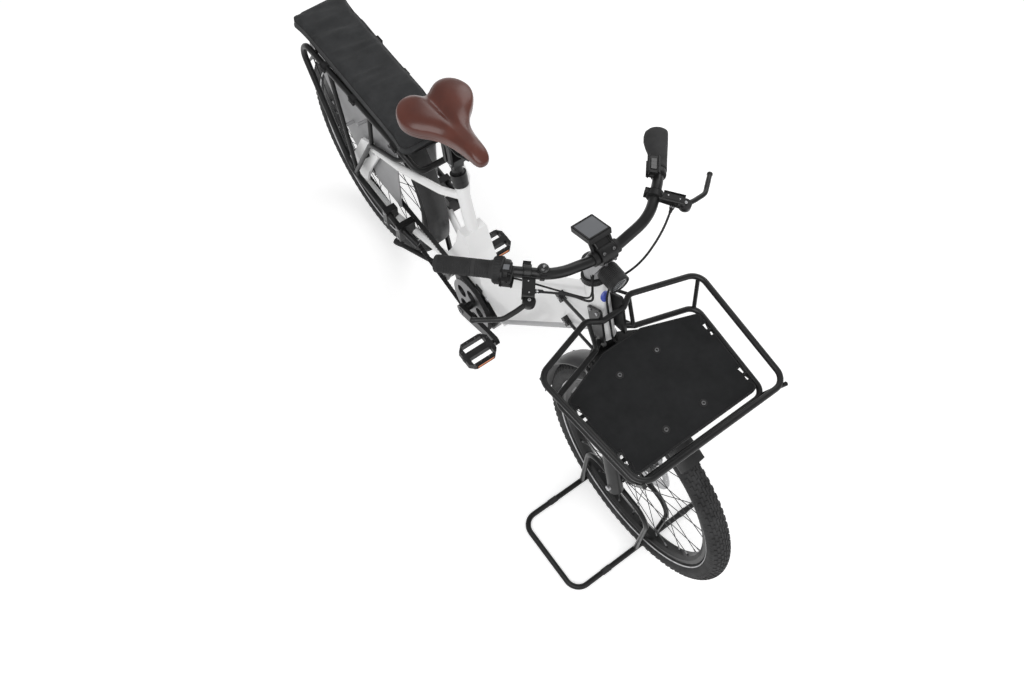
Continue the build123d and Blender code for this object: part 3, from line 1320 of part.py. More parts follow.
for route, radius, stops in (
    (front_hose_route, HOSE_RADIUS, (left_lever, front_caliper.part)),
    (rear_hose_route, HOSE_RADIUS, (right_lever, stem.part)),
    (shift_route, CABLE_RADIUS, (stem.part,)),
):
    radii = run_radii(route)
    print("cable arc radii:", [round(value) for value in radii])
    with BuildPart() as cable:
        add(bent_bar(route, radii, radius))
        for stop in stops:
            add(stop, mode=Mode.SUBTRACT)
    cable_pieces.append(cable.part.solids().sort_by(SortBy.VOLUME)[-1])
save(Compound(children=cable_pieces), "control_cables")
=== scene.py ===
import json
import math
import random

import bmesh
import bpy
from mathutils import Matrix, Vector
from mathutils.bvhtree import BVHTree


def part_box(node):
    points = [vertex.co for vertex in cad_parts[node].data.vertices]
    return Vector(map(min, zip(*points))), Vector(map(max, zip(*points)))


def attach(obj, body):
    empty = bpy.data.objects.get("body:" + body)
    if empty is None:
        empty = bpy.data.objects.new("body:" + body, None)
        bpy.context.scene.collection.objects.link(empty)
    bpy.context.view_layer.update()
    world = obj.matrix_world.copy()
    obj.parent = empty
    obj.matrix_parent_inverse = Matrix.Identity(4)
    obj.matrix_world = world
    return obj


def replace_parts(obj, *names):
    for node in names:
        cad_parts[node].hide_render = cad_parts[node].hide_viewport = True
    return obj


# Looks for the longtail cargo bicycle. Metres, in the frame's own axes:
# X to the rider's left, Y to the rear, Z up.

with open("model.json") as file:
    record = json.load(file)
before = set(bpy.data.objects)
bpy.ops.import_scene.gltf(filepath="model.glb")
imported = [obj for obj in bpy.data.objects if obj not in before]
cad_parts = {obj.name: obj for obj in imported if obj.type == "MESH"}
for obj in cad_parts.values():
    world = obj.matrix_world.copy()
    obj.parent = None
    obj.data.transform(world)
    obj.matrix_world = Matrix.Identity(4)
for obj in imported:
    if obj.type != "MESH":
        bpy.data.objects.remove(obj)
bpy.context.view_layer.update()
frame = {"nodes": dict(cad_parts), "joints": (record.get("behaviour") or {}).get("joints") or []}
nodes = frame["nodes"]
joints = {joint["name"]: joint for joint in frame["joints"]}
rng = random.Random(7)

ACROSS = Vector((1, 0, 0))
REARWARD = Vector((0, 1, 0))
UP = Vector((0, 0, 1))


def middle(node):
    low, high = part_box(node)
    return (low + high) / 2


def half_size(node):
    low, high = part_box(node)
    return (high - low) / 2


front = middle("front_tyre")
rear = middle("rear_tyre")
TYRE_RADIUS = half_size("front_tyre").z
TYRE_HALF_WIDTH = half_size("front_tyre").x
RIM_RADIUS = half_size("front_rim").z
RIM_DEPTH = 0.020
crank_centre = Vector(joints["crank_spin"]["pos_m"])
steer_origin = Vector(joints["steering_turn"]["pos_m"])
steer_up = Vector(joints["steering_turn"]["axis"]).normalized()
steer_back = steer_up.cross(ACROSS).normalized() * -1
if steer_back.y < 0:
    steer_back = -steer_back
FORK_OFFSET = (front - steer_origin).length
LEG_X = 0.068
CROWN_TOP = 0.458
# how far out a line starts that looks for a surface
OUTSIDE = 0.4


def back(y, z):
    """A place on the middle plane, at a distance behind the front axle and a height."""
    return Vector((0, front.y + y, z))


def on_steering(x, rearward, height):
    return steer_origin + ACROSS * x + steer_back * rearward + steer_up * height


# ---------------------------------------------------------------- materials
class Nodes:
    """A material's node tree, with short calls for the nodes used here."""

    def __init__(self, name, **sockets):
        self.material = bpy.data.materials.new(name)
        self.material.use_nodes = True
        self.tree = self.material.node_tree
        self.shader = self.tree.nodes["Principled BSDF"]
        for socket, value in sockets.items():
            self.shader.inputs[socket.replace("_", " ")].default_value = value

    def add(self, kind, **values):
        node = self.tree.nodes.new(kind)
        for key, value in values.items():
            if hasattr(node, key):
                setattr(node, key, value)
            else:
                node.inputs[key.replace("_", " ")].default_value = value
        return node

    def link(self, source, target):
        self.tree.links.new(source, target)

    def math(self, operation, one, two):
        node = self.add("ShaderNodeMath", operation=operation)
        self.link(one, node.inputs[0])
        self.link(two, node.inputs[1])
        return node.outputs["Value"]

    def coordinates(self, scale=(1, 1, 1)):
        mapping = self.add("ShaderNodeMapping", Scale=scale)
        self.link(self.add("ShaderNodeTexCoord").outputs["Object"], mapping.inputs["Vector"])
        return mapping.outputs["Vector"]

    def noise(self, scale, detail=4.0, roughness=0.5, stretch=(1, 1, 1)):
        node = self.add("ShaderNodeTexNoise", Scale=scale, Detail=detail, Roughness=roughness)
        self.link(self.coordinates(stretch), node.inputs["Vector"])
        return node.outputs["Fac"]

    def colour(self, factor, dark, light, low=0.35, high=0.65):
        node = self.add("ShaderNodeValToRGB")
        for stop, place, tone in zip(node.color_ramp.elements, (low, high), (dark, light)):
            stop.position = place
            stop.color = (*tone, 1)
        self.link(factor, node.inputs["Fac"])
        self.link(node.outputs["Color"], self.shader.inputs["Base Color"])

    def rough(self, factor, low, high):
        node = self.add("ShaderNodeMapRange", To_Min=low, To_Max=high)
        self.link(factor, node.inputs["Value"])
        self.link(node.outputs["Result"], self.shader.inputs["Roughness"])

    def bump(self, height, distance, strength):
        node = self.add("ShaderNodeBump", Strength=strength, Distance=distance)
        self.link(height, node.inputs["Height"])
        previous = self.shader.inputs["Normal"]
        if previous.is_linked:
            self.link(previous.links[0].from_socket, node.inputs["Normal"])
        self.link(node.outputs["Normal"], self.shader.inputs["Normal"])


def grey(value):
    return (value, value, value * 1.02)


def tinted(name, tones, shine, spots, wear, grain=None, span=(0.35, 0.65), **sockets):
    """Colour and roughness that wander between two values each, over a fine grain.

    tones are greys or colours. spots and wear are the noise behind colour and roughness.
    grain is the noise of the relief, then its depth and its strength.
    """
    look = Nodes(name, **sockets)
    dark, light = (tone if isinstance(tone, tuple) else grey(tone) for tone in tones)
    look.colour(look.noise(*spots), dark, light, *span)
    look.rough(look.noise(*wear), *shine)
    if grain:
        look.bump(look.noise(*grain[0]), *grain[1:])
    return look


def surface(*values, **sockets):
    return tinted(*values, **sockets).material


def rubber(name, tone, dusty):
    grain = ((2500, 3), 0.0002, 0.45)
    shine, span = (0.62, 0.82), (0.35, 0.8)
    return surface(name, (tone, dusty), shine, (22, 8, 0.6), (80, 5), grain, span, Specular_IOR_Level=0.3)


def metal(name, tone, low, high, stretch=(1, 1, 1)):
    wear = (300, 3, 0.5, stretch)
    grain = ((1500, 2, 0.5, stretch), 0.00005, 0.2)
    return surface(name, (tone * 0.85, tone), (low, high), (20, 6), wear, grain, Metallic=1.0)


def coloured(name, tone, roughness, coat):
    dim = tuple(value * 0.8 for value in tone)
    return surface(name, (dim, tone), (roughness * 0.8, roughness * 1.2), (60, 5), (90,), Coat_Weight=coat)


def saddle_leather():
    tones = (0.072, 0.015, 0.008), (0.118, 0.027, 0.015)
    coat = {"Coat_Weight": 0.35, "Coat_Roughness": 0.18, "Specular_IOR_Level": 0.4}
    look = tinted("saddle_cover", tones, (0.3, 0.44), (14, 6), (60, 4), None, (0.3, 0.75), **coat)
    grain = look.add("ShaderNodeTexVoronoi", Scale=900.0)
    look.link(look.coordinates(), grain.inputs["Vector"])
    look.bump(grain.outputs["Distance"], 0.0002, 0.3)
    return look.material


def woven(name, dark, light, sheen=0.1):
    """Plain weave from two crossed waves, with a little fuzz."""
    fuzz = {"Sheen_Weight": sheen, "Sheen_Roughness": 0.5, "Specular_IOR_Level": 0.25}
    look = tinted(name, (dark, light), (0.7, 0.9), (16, 8, 0.6), (70,), None, (0.3, 0.75), **fuzz)
    threads = []
    for direction in ("X", "Y"):
        wave = look.add("ShaderNodeTexWave", bands_direction=direction, Scale=260.0, Distortion=0.6)
        look.link(look.coordinates(), wave.inputs["Vector"])
        threads.append(wave.outputs["Fac"])
    look.bump(look.math("MULTIPLY", *threads), 0.0003, 0.5)
    look.bump(look.noise(1200, 3), 0.0002, 0.3)
    return look.material


def clear_lens(name, tint):
    look = Nodes(name, Roughness=0.05, Transmission_Weight=0.85, IOR=1.49)
    look.colour(look.noise(20), tint, tint)
    return look.material


WHITE_TONES = (0.875, 0.875, 0.872), (0.885, 0.885, 0.885)
WHITE_GRAIN = (2500, 2), 0.00001, 0.05
WHITE = surface(
    "white_gloss_paint", WHITE_TONES, (0.27, 0.31), (30, 6), (60,), WHITE_GRAIN, (0.2, 0.8),
    Coat_Weight=0.35, Coat_Roughness=0.08,
)
BLACK = surface(
    "black_powder_coat", (0.008, 0.015), (0.26, 0.40), (25, 6), (60, 5), ((1800, 2), 0.00012, 0.35),
    Specular_IOR_Level=0.32,
)
GREY = surface("grey_satin_paint", (0.34, 0.40), (0.34, 0.46), (18, 6), (50,), ((1400, 2), 0.0001, 0.2))
PANEL = surface("grey_panel_plastic", (0.30, 0.35), (0.34, 0.5), (12, 6), (30,), ((1500, 3), 0.00015, 0.3))
PLASTIC = surface(
    "black_plastic", (0.010, 0.020), (0.4, 0.58), (30, 6), (45, 5), ((2200, 2), 0.00012, 0.4),
    Specular_IOR_Level=0.3,
)
GLOSS = surface(
    "black_gloss_plastic", (0.012, 0.02), (0.16, 0.26), (30, 6), (45, 5),
    Coat_Weight=0.2, Coat_Roughness=0.08,
)
GUARD = surface(
    "mudguard_plastic", (0.022, 0.038), (0.3, 0.44), (14, 7), (35, 5), ((1500, 2), 0.0001, 0.3),
    Specular_IOR_Level=0.35,
)
TYRE = rubber("tyre_rubber", 0.022, 0.055)
GRIP = rubber("grip_rubber", 0.022, 0.042)
HOSE = rubber("hose_cover", 0.014, 0.022)
STEEL = metal("brushed_steel", 0.62, 0.24, 0.4, (1, 8, 1))
DARK_STEEL = metal("dark_steel", 0.20, 0.3, 0.45)
CHROME = metal("bell_chrome", 0.80, 0.06, 0.14)
SPOKE = metal("black_spoke_steel", 0.09, 0.28, 0.4)
STRIPE = surface("reflective_stripe", (0.55, 0.75), (0.3, 0.45), (60, 6), (400,), Metallic=0.35)
LEATHER = saddle_leather()
CUSHION = woven("cushion_fabric", (0.022, 0.023, 0.024), (0.042, 0.043, 0.045))
STRAP = woven("strap_webbing", (0.012, 0.012, 0.012), (0.024, 0.024, 0.025))
BOARD = woven("board_felt", (0.008, 0.0085, 0.009), (0.015, 0.0155, 0.0165), 0.03)
AMBER = coloured("amber_reflector", (0.75, 0.20, 0.02), 0.3, 0.3)
RED = coloured("red_lens", (0.42, 0.015, 0.012), 0.15, 0.8)
BADGE = coloured("badge_blue", (0.10, 0.14, 0.55), 0.25, 0.8)
LENS = clear_lens("headlight_lens", (0.9, 0.92, 0.95))
SCREEN_TONES = (0.115, 0.12, 0.13), (0.15, 0.155, 0.165)
SCREEN = surface(
    "display_screen", SCREEN_TONES, (0.12, 0.2), (8, 3), (30,),
    Coat_Weight=1.0, Coat_Roughness=0.03,
)

NODE_LOOKS = {
    WHITE: "head_tube down_tube seat_tube seat_stays chain_stays dropouts motor_bracket",
    GREY: "battery_cover stem",
    PANEL: "side_panels",
    BLACK: "motor seatpost saddle_clamp rear_rack_rails rail_clamps handlebar fork_crown fork_lowers "
    "headset front_rack_frame rack_stay_blocks kickstand_mount kickstand front_hub rear_hub front_rim "
    "rear_rim cranks front_brake_caliper rear_brake_caliper floor_stand brake_levers rear_rack_deck",
    GUARD: "rear_mudguard front_mudguard",
    PLASTIC: "headlight display twist_shifter left_pedal right_pedal",
    BOARD: "front_rack_board",
    RED: "rear_light",
    GRIP: "grips",
    HOSE: "control_cables drive_belt",
    TYRE: "front_tyre rear_tyre",
    STEEL: "front_brake_disc rear_brake_disc rear_axle front_axle",
    DARK_STEEL: "front_sprocket rear_sprocket",
    SPOKE: "front_spokes rear_spokes",
    LEATHER: "saddle",
    CUSHION: "rear_cushion",
}
for look, names in NODE_LOOKS.items():
    for name in names.split():
        nodes[name].data.materials.clear()
        nodes[name].data.materials.append(look)


# ---------------------------------------------------------------- places and profiles
def across_pair(axis):
    """Two directions square to an axis and to each other."""
    helper = UP if abs(axis.z) < 0.9 else REARWARD
    first = axis.cross(helper).normalized()
    return first, axis.cross(first).normalized()


def facing(direction, way):
    """A direction at length 1, turned round if it points away from way."""
    direction = direction.normalized()
    return direction if direction.dot(way) >= 0 else -direction


def around(axis, count):
    """Directions spread evenly round an axis."""
    first, second = across_pair(axis)
    angles = [2 * math.pi * k / count for k in range(count)]
    return [first * math.cos(angle) + second * math.sin(angle) for angle in angles]


def wheel_ways(count, start):
    """Directions spread evenly in a wheel's plane, from an angle above the rearward one."""
    angles = [math.radians(start + 360 / count * k) for k in range(count)]
    return [Vector((0, math.cos(angle), math.sin(angle))) for angle in angles]


def average(points):
    return sum(points, Vector()) / len(points)


def extent(points):
    """The lowest and the highest corner of some points' box."""
    return tuple(Vector(pick(p[k] for p in points) for k in range(3)) for pick in (min, max))


def bead(radius, lift, half):
    """Profile of a low ring with a ridge."""
    return [(radius, -half), (radius + lift, 0), (radius, half)]


def sleeve(inner, outer, half, edge):
    """Profile of a sleeve with sloping edges."""
    return [(inner, -half), (outer, edge - half), (outer, half - edge), (inner, half)]


# ---------------------------------------------------------------- building meshes
def hexagon_share(angle):
    """Distance of a hexagon's edge from its centre, as a share of its corner's."""
    folded = angle % (math.pi / 3) - math.pi / 6
    return math.cos(math.pi / 6) / math.cos(folded)


class Shape:
    """Faces gathered into one mesh, then made into a piece of the object."""

    def __init__(self):
        self.bm = bmesh.new()

    def ring(self, centre, first, second, radii, sides, hexed=False):
        out = []
        for k in range(sides):
            angle = 2 * math.pi * k / sides
            share = hexagon_share(angle) if hexed else 1
            place = centre + first * (radii[0] * share * math.cos(angle))
            out.append(self.bm.verts.new(place + second * (radii[1] * share * math.sin(angle))))
        return out

    def bridge(self, low, high):
        for k in range(len(low)):
            after = (k + 1) % len(low)
            self.bm.faces.new((low[k], low[after], high[after], high[k]))

    def fan(self, tip, ring):
        for k, vertex in enumerate(ring):
            self.bm.faces.new((tip, vertex, ring[(k + 1) % len(ring)]))

    def chain(self, rings):
        for low, high in zip(rings, rings[1:]):
            self.bridge(low, high)

    def skin(self, rings):
        """Faces between rings that follow one another, and over both ends."""
        self.chain(rings)
        self.bm.faces.new(rings[0])
        self.bm.faces.new(rings[-1])

    def revolve(self, profile, origin, axis, sides=24, hexed=()):
        """Turns (radius, distance along the axis) points round the axis."""
        axis = Vector(axis).normalized()
        first, second = across_pair(axis)
        rings = []
        for index, (radius, along) in enumerate(profile):
            centre = Vector(origin) + axis * along
            radii = (max(radius, 1e-5),) * 2
            rings.append(self.ring(centre, first, second, radii, sides, index in hexed))
        if profile[0] == profile[-1]:
            self.chain(rings + rings[:1])
        else:
            self.skin(rings)
        return self

    def cord(self, points, radius, sides=8):
        """A closed tube through points."""
        rings, first = [], None
        for k, point in enumerate(points):
            along = (points[(k + 1) % len(points)] - points[k - 1]).normalized()
            if first is None:
                first = across_pair(along)[0]
            else:
                first = (first - along * first.dot(along)).normalized()
            rings.append(self.ring(point, first, along.cross(first), (radius, radius), sides))
        self.chain(rings + rings[:1])

    def block(self, centre, size, right=ACROSS, up=UP, bevel=0.0, steps=2):
        """A box with rounded edges, turned to the given right and up."""
        right = Vector(right).normalized()
        up = (Vector(up) - right * Vector(up).dot(right)).normalized()
        made = bmesh.ops.create_cube(self.bm, size=1.0)["verts"]
        turn = Matrix((right, right.cross(up), up)).transposed()
        for vertex in made:
            vertex.co = turn @ (vertex.co * Vector(size)) + Vector(centre)
        edges = list({edge for vertex in made for edge in vertex.link_edges})
        bmesh.ops.bevel(self.bm, geom=edges, offset=bevel, segments=steps, affect="EDGES", profile=0.5)
        return self

    def bolt(self, place, axis, radius, height=None):
        """A round socket-head bolt standing on a surface."""
        height = height or radius * 0.9
        profile = [
            (radius * 0.92, -0.001),
            (radius, 0),
            (radius, height * 0.75),
            (radius * 0.86, height),
            (radius * 0.58, height),
            (radius * 0.52, height * 0.9),
            (radius * 0.5, height * 0.25),
            (1e-5, height * 0.2),
        ]
        return self.revolve(profile, place, axis, 24, (4, 5, 6))

    def bolt_on(self, node, start, way, radius, height, square=0.0, reach=(0.0, 1.0)):
        """A bolt where a line from start meets a node.

        square is how squarely the surface has to face the line, reach the least and the
        most distance from the middle plane.
        """
        way = Vector(way)
        place, out = touch(node, start, way)
        if place is not None and abs(out.dot(way)) >= square and reach[0] <= abs(place.x) <= reach[1]:
            self.bolt(place, -way, radius, height)

    def make(self, name, material, body, crease=35, slot=None):
        bmesh.ops.recalc_face_normals(self.bm, faces=self.bm.faces)
        mesh = bpy.data.meshes.new(name)
        self.bm.to_mesh(mesh)
        self.bm.free()
        mesh.materials.append(material)
        piece = bpy.data.objects.new(name, mesh)
        bpy.context.scene.collection.objects.link(piece)
        finish_mesh(piece, crease)
        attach(piece, body)
        return piece


def side_bolts(shape, node, spots, radius, height, square=0.0, reach=(0.0, 1.0)):
    """Bolts on both sides of a node, at places given by Y and Z."""
    for side in (-1, 1):
        for y, z in spots:
            shape.bolt_on(node, (side * OUTSIDE, y, z), ACROSS * -side, radius, height, square, reach)


def finish_mesh(piece, crease):
    mesh = piece.data
    mesh.polygons.foreach_set("use_smooth", [True] * len(mesh.polygons))
    mesh.set_sharp_from_angle(angle=math.radians(crease))


def apply_modifiers(piece):
    graph = bpy.context.evaluated_depsgraph_get()
    graph.update()
    mesh = bpy.data.meshes.new_from_object(piece.evaluated_get(graph))
    piece.modifiers.clear()
    piece.data = mesh


def smooth_out(piece):
    piece.modifiers.new("smooth", "SUBSURF").levels = 1
    apply_modifiers(piece)


def tree_of(piece):
    mesh = piece.data
    return BVHTree.FromPolygons([v.co for v in mesh.vertices], [p.vertices for p in mesh.polygons])


trees = {}


def touch(node, start, direction, otherwise=None):
    """Where a line from start first meets a node, and the surface's direction there."""
    if node not in trees:
        trees[node] = tree_of(nodes[node])
    direction = Vector(direction).normalized()
    place, normal, _, _ = trees[node].ray_cast(Vector(start), direction)
    if place is None:
        return otherwise, -direction
    return place, facing(normal, -direction)


def islands(node):
    """The separate bodies in a node's mesh, each as a list of points."""
    mesh = nodes[node].data
    keys, owner = {}, []
    for vertex in mesh.vertices:
        owner.append(keys.setdefault(tuple(round(c, 6) for c in vertex.co), len(keys)))
    parent = list(range(len(keys)))

    def root(k):
        while parent[k] != k:
            parent[k] = parent[parent[k]]
            k = parent[k]
        return k

    for edge in mesh.edges:
        one, two = (root(owner[v]) for v in edge.vertices)
        parent[one] = two
    groups = {}
    for key, number in keys.items():
        groups.setdefault(root(number), []).append(Vector(key))
    return list(groups.values())


# ---------------------------------------------------------------- tyres
TREAD_HEIGHT = 0.0022
TREAD_PITCHES = 92
# middle of each row, half its width in degrees, share of the pitch that is block, offset
TREAD_ROWS = ((6.5, 5.0, 0.80, 0.0), (20.0, 6.2, 0.62, 0.5), (35.5, 6.6, 0.66, 0.0), (52.0, 7.4, 0.54, 0.5))
CASING_CENTRE = RIM_RADIUS + 0.024
CASING_HIGH = TYRE_RADIUS - TREAD_HEIGHT - CASING_CENTRE
CASING_WIDE = TYRE_HALF_WIDTH - 0.0006
CASING_REACH = 158
CASING_STEPS = 34
VALVE_ANGLE = 250


def casing(lean, lift=0.0):
    """Side and radius of the tyre's outer skin, at an angle from its crown."""
    high = CASING_HIGH if abs(lean) < math.pi / 2 else CASING_CENTRE - RIM_RADIUS + 0.003
    return (CASING_WIDE + lift) * math.sin(lean), CASING_CENTRE + (high + lift) * math.cos(lean)


def wheel_vertex(shape, centre, side, radius, angle):
    way = Vector((side, radius * math.cos(angle), radius * math.sin(angle)))
    return shape.bm.verts.new(centre + way)


def make_tyre(prefix):
    node, body = prefix + "_tyre", prefix + "_wheel"
    centre = middle(node)
    shape = Shape()
    profile = []
    for k in range(CASING_STEPS + 1):
        degrees = CASING_REACH * (2 * k / CASING_STEPS - 1)
        side, radius = casing(math.radians(degrees))
        # fine rings moulded in the lower side wall
        if 96 < abs(degrees) < 150 and k % 2:
            side *= 0.985
        profile.append((radius, side))
    profile += [(RIM_RADIUS + 0.001, 0.010), (RIM_RADIUS + 0.001, -0.010), profile[0]]
    shape.revolve(profile, centre, ACROSS, 180)
    pitch = 2 * math.pi / TREAD_PITCHES
    for degrees, half_degrees, share, offset in TREAD_ROWS:
        half = math.radians(half_degrees)
        for sign, shift in ((-1, offset), (1, offset + 0.25)):
            lean = sign * math.radians(degrees)
            for k in range(TREAD_PITCHES):
                tread_block(shape, centre, lean, half, (k + shift) * pitch, pitch * share)
    for sign in (-1, 1):
        for k in range(2 * TREAD_PITCHES):
            rib(shape, centre, sign, k * pitch / 2, pitch * 0.13)
    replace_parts(shape.make(node + "_tread", TYRE, body, 32), node)
    stripe = Shape()
    for sign in (-1, 1):
        band = []
        for lean, lift in ((128, -0.0006), (128.5, 0.0005), (134.5, 0.0005), (135, -0.0006)):
            side, radius = casing(math.radians(lean), lift)
            band.append((radius, sign * side))
        stripe.revolve(band + band[:1], centre, ACROSS, 144)
    stripe.make(node + "_tread_reflex_band", STRIPE, body, 30)


def tread_block(shape, centre, lean, half, start, length):
    """One block of the tread, a little smaller at its top."""
    draft = length * 0.07
    corners = []
    for lift, spread, inset in ((-0.0006, 1.0, 0.0), (TREAD_HEIGHT, 0.86, draft)):
        for turn in (start + inset, start + length - inset):
            for edge in (-half * spread, half * spread):
                corners.append(wheel_vertex(shape, centre, *casing(lean + edge, lift), turn))
    low, high = corners[:4], corners[4:]
    shape.bm.faces.new([high[k] for k in (0, 1, 3, 2)])
    for one, two in ((0, 1), (1, 3), (3, 2), (2, 0)):
        shape.bm.faces.new((low[one], low[two], high[two], high[one]))


def rib(shape, centre, sign, angle, width):
    """One fine rib across the tyre's shoulder."""
    rows = []
    for degrees, ridge in ((66, 0.0002), (76, 0.0007), (88, 0.0002)):
        row = []
        for turn, lift in ((-width / 2, -0.0003), (0, ridge), (width / 2, -0.0003)):
            side, radius = casing(math.radians(degrees), lift)
            row.append(wheel_vertex(shape, centre, sign * side, radius, angle + turn))
        rows.append(row)
    for low, high in zip(rows, rows[1:]):
        for k in (0, 1):
            shape.bm.faces.new((low[k], low[k + 1], high[k + 1], high[k]))


def make_wheel_trim(prefix):
    """Spoke nipples, spoke heads and the valve of one wheel."""
    body = prefix + "_wheel"
    centre = middle(prefix + "_tyre")
    shape = Shape()
    nipple = [(0.0030, -0.001), (0.0030, 0.002), (0.0022, 0.003), (0.0019, 0.011), (0.0012, 0.012)]
    head = [(0.0012, 0.006), (0.0021, 0.004), (0.0021, 0.001), (0.001, 0)]
    for points in islands(prefix + "_spokes"):
        far = [(math.hypot(p.y - centre.y, p.z - centre.z), p) for p in points]
        longest = max(distance for distance, _ in far)
        shortest = min(distance for distance, _ in far)
        outer = average([p for distance, p in far if distance > longest - 0.002])
        inner = average([p for distance, p in far if distance < shortest + 0.002])
        shape.revolve(nipple, outer, inner - outer, 8)
        shape.revolve(head, inner, outer - inner, 8)
    shape.make(prefix + "_spoke_nipples", DARK_STEEL, body)
    out = wheel_ways(1, VALVE_ANGLE)[0]
    profile = [(0.006, 0), (0.006, 0.0025), (0.0032, 0.004), (0.003, 0.020)]
    profile += [(0.0045, 0.021), (0.0045, 0.033), (0.003, 0.036)]
    base = centre + out * (RIM_RADIUS - RIM_DEPTH + 0.001)
    Shape().revolve(profile, base, -out, 16).make(prefix + "_valve", PLASTIC, body)


for end in ("front", "rear"):
    make_tyre(end)
for end in ("front", "rear"):
    make_wheel_trim(end)


# ---------------------------------------------------------------- saddle
saddle_low, saddle_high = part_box("saddle")
SADDLE_TOP = saddle_high.z + 0.006
SADDLE_LENGTH = saddle_high.y - saddle_low.y
SADDLE_CENTRE = Vector((0, saddle_low.y + SADDLE_LENGTH * 0.70, 0))
SADDLE_HALF = half_size("saddle").x
SADDLE_POINTS = 120
SADDLE_RINGS = 18
# half outline from the rear notch to the nose: share of half width, share of length from the nose
SADDLE_OUTLINE = (
    (0.0, 0.950),
    (0.10, 0.955),
    (0.22, 0.976),
    (0.42, 1.0),
    (0.66, 0.990),
    (0.87, 0.930),
    (0.99, 0.835),
    (1.0, 0.755),
    (0.92, 0.675),
    (0.76, 0.600),
    (0.55, 0.530),
    (0.385, 0.440),
    (0.300, 0.340),
    (0.255, 0.230),
    (0.225, 0.120),
    (0.180, 0.045),
    (0.10, 0.008),
    (0.0, 0.0),
)
# the skirt, with the two sewn lines in it: share of the outline, depth below the top
SADDLE_SKIRT = (
    (1.0, 0.0185),
    (1.004, 0.024),
    (1.003, 0.0282),
    (0.994, 0.0290),
    (1.001, 0.0298),
    (0.998, 0.0345),
    (0.989, 0.0353),
    (0.995, 0.0361),
    (0.985, 0.0415),
    (0.965, 0.0430),
    (0.93, 0.0425),
    (0.90, 0.036),
)


def smooth_closed(points, count):
    """Points evenly along a closed Catmull-Rom curve."""
    fine = []
    total = len(points)
    for k in range(total):
        p0, p1, p2, p3 = (points[(k + d) % total] for d in (-1, 0, 1, 2))
        for step in range(12):
            t = step / 12
            a = p1 * 2
            b = (p2 - p0) * t
            c = (p0 * 2 - p1 * 5 + p2 * 4 - p3) * t * t
            d = (p1 * 3 - p0 - p2 * 3 + p3) * t ** 3
            fine.append((a + b + c + d) / 2)
    lengths = [0.0]
    for k, point in enumerate(fine):
        lengths.append(lengths[-1] + (fine[(k + 1) % len(fine)] - point).length)
    out, index = [], 0
    for k in range(count):
        target = lengths[-1] * k / count
        while lengths[index + 1] < target:
            index += 1
        share = (target - lengths[index]) / max(lengths[index + 1] - lengths[index], 1e-9)
        out.append(fine[index].lerp(fine[(index + 1) % len(fine)], share))
    return out


def ease(value):
    value = min(max(value, 0.0), 1.0)
    return value * value * (3 - 2 * value)


def hill(distance):
    """A smooth rise that is 1 in its middle and fades over a distance of 1."""
    return math.exp(-(distance ** 2))


def saddle_height(x, y):
    """Height of the saddle's top without its edge's fall."""
    share = (y - saddle_low.y) / SADDLE_LENGTH
    height = SADDLE_TOP - 0.0085 * hill((share - 0.42) / 0.20)
    height -= 0.006 * (1 - ease(share / 0.12))
    width = 0.010 + 0.009 * ease((share - 0.55) / 0.4)
    height -= 0.0105 * ease((share - 0.40) / 0.30) * hill(x / width)
    return height - 0.004 * ease((share - 0.45) / 0.2) * hill(x / 0.034)


def make_saddle():
    outline = [Vector((x * SADDLE_HALF, saddle_low.y + s * SADDLE_LENGTH, 0)) for x, s in SADDLE_OUTLINE]
    outline += [Vector((-p.x, p.y, 0)) for p in reversed(outline[1:-1])]
    rim = smooth_closed(outline, SADDLE_POINTS)
    shape = Shape()
    rings = []
    for k in range(SADDLE_RINGS):
        share = ((k + 1) / SADDLE_RINGS) ** 0.85
        fall = 0.013 * max(0.0, (share - 0.45) / 0.55) ** 2.6
        ring = []
        for p in rim:
            flat = SADDLE_CENTRE.lerp(p, share * 0.985)
            ring.append(shape.bm.verts.new((flat.x, flat.y, saddle_height(flat.x, flat.y) - fall)))
        rings.append(ring)
    for share, depth in SADDLE_SKIRT:
        ring = []
        for p in rim:
            flat = SADDLE_CENTRE.lerp(p, share)
            drop = depth * (0.80 + 0.20 * ease((flat.y - saddle_low.y) / (SADDLE_LENGTH * 0.6)))
            ring.append(shape.bm.verts.new((flat.x, flat.y, saddle_height(p.x, p.y) - drop - 0.0005)))
        rings.append(ring)
    shape.chain(rings)
    crown = (0, SADDLE_CENTRE.y, saddle_height(0, SADDLE_CENTRE.y))
    shape.fan(shape.bm.verts.new(crown), rings[0])
    shape.fan(shape.bm.verts.new((0, SADDLE_CENTRE.y, SADDLE_TOP - 0.030)), rings[-1])
    piece = shape.make("saddle_padded_cover", LEATHER, "frame", 180)
    smooth_out(piece)
    finish_mesh(piece, 180)
    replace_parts(piece, "saddle")


make_saddle()


# ---------------------------------------------------------------- rear cushion
pad_low, pad_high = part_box("rear_cushion")
PAD_MIDDLE = middle("rear_cushion")
PAD_HALF = half_size("rear_cushion")
PAD_VOXEL = 0.005
PAD_CAP = 0.009
PAD_INSET = 0.001
PAD_CORNER = 0.030
PAD_PRESSURE = 4.0
PAD_FRAMES = 20
PAD_QUALITY = 5
PAD_WAIST = 0.0015
PIPING_STEP = 0.02
PIPING_RADIUS = 0.0014
PIPING_LEVELS = (0.84, 0.16)


def rounded_outline(low, high, radius, per_corner=8):
    points = []
    for cx, cy, start in (
        (high.x - radius, high.y - radius, 0),
        (low.x + radius, high.y - radius, 90),
        (low.x + radius, low.y + radius, 180),
        (high.x - radius, low.y + radius, 270),
    ):
        for k in range(per_corner + 1):
            angle = math.radians(start + 90 * k / per_corner)
            points.append(Vector((cx + radius * math.cos(angle), cy + radius * math.sin(angle), 0)))
    return points


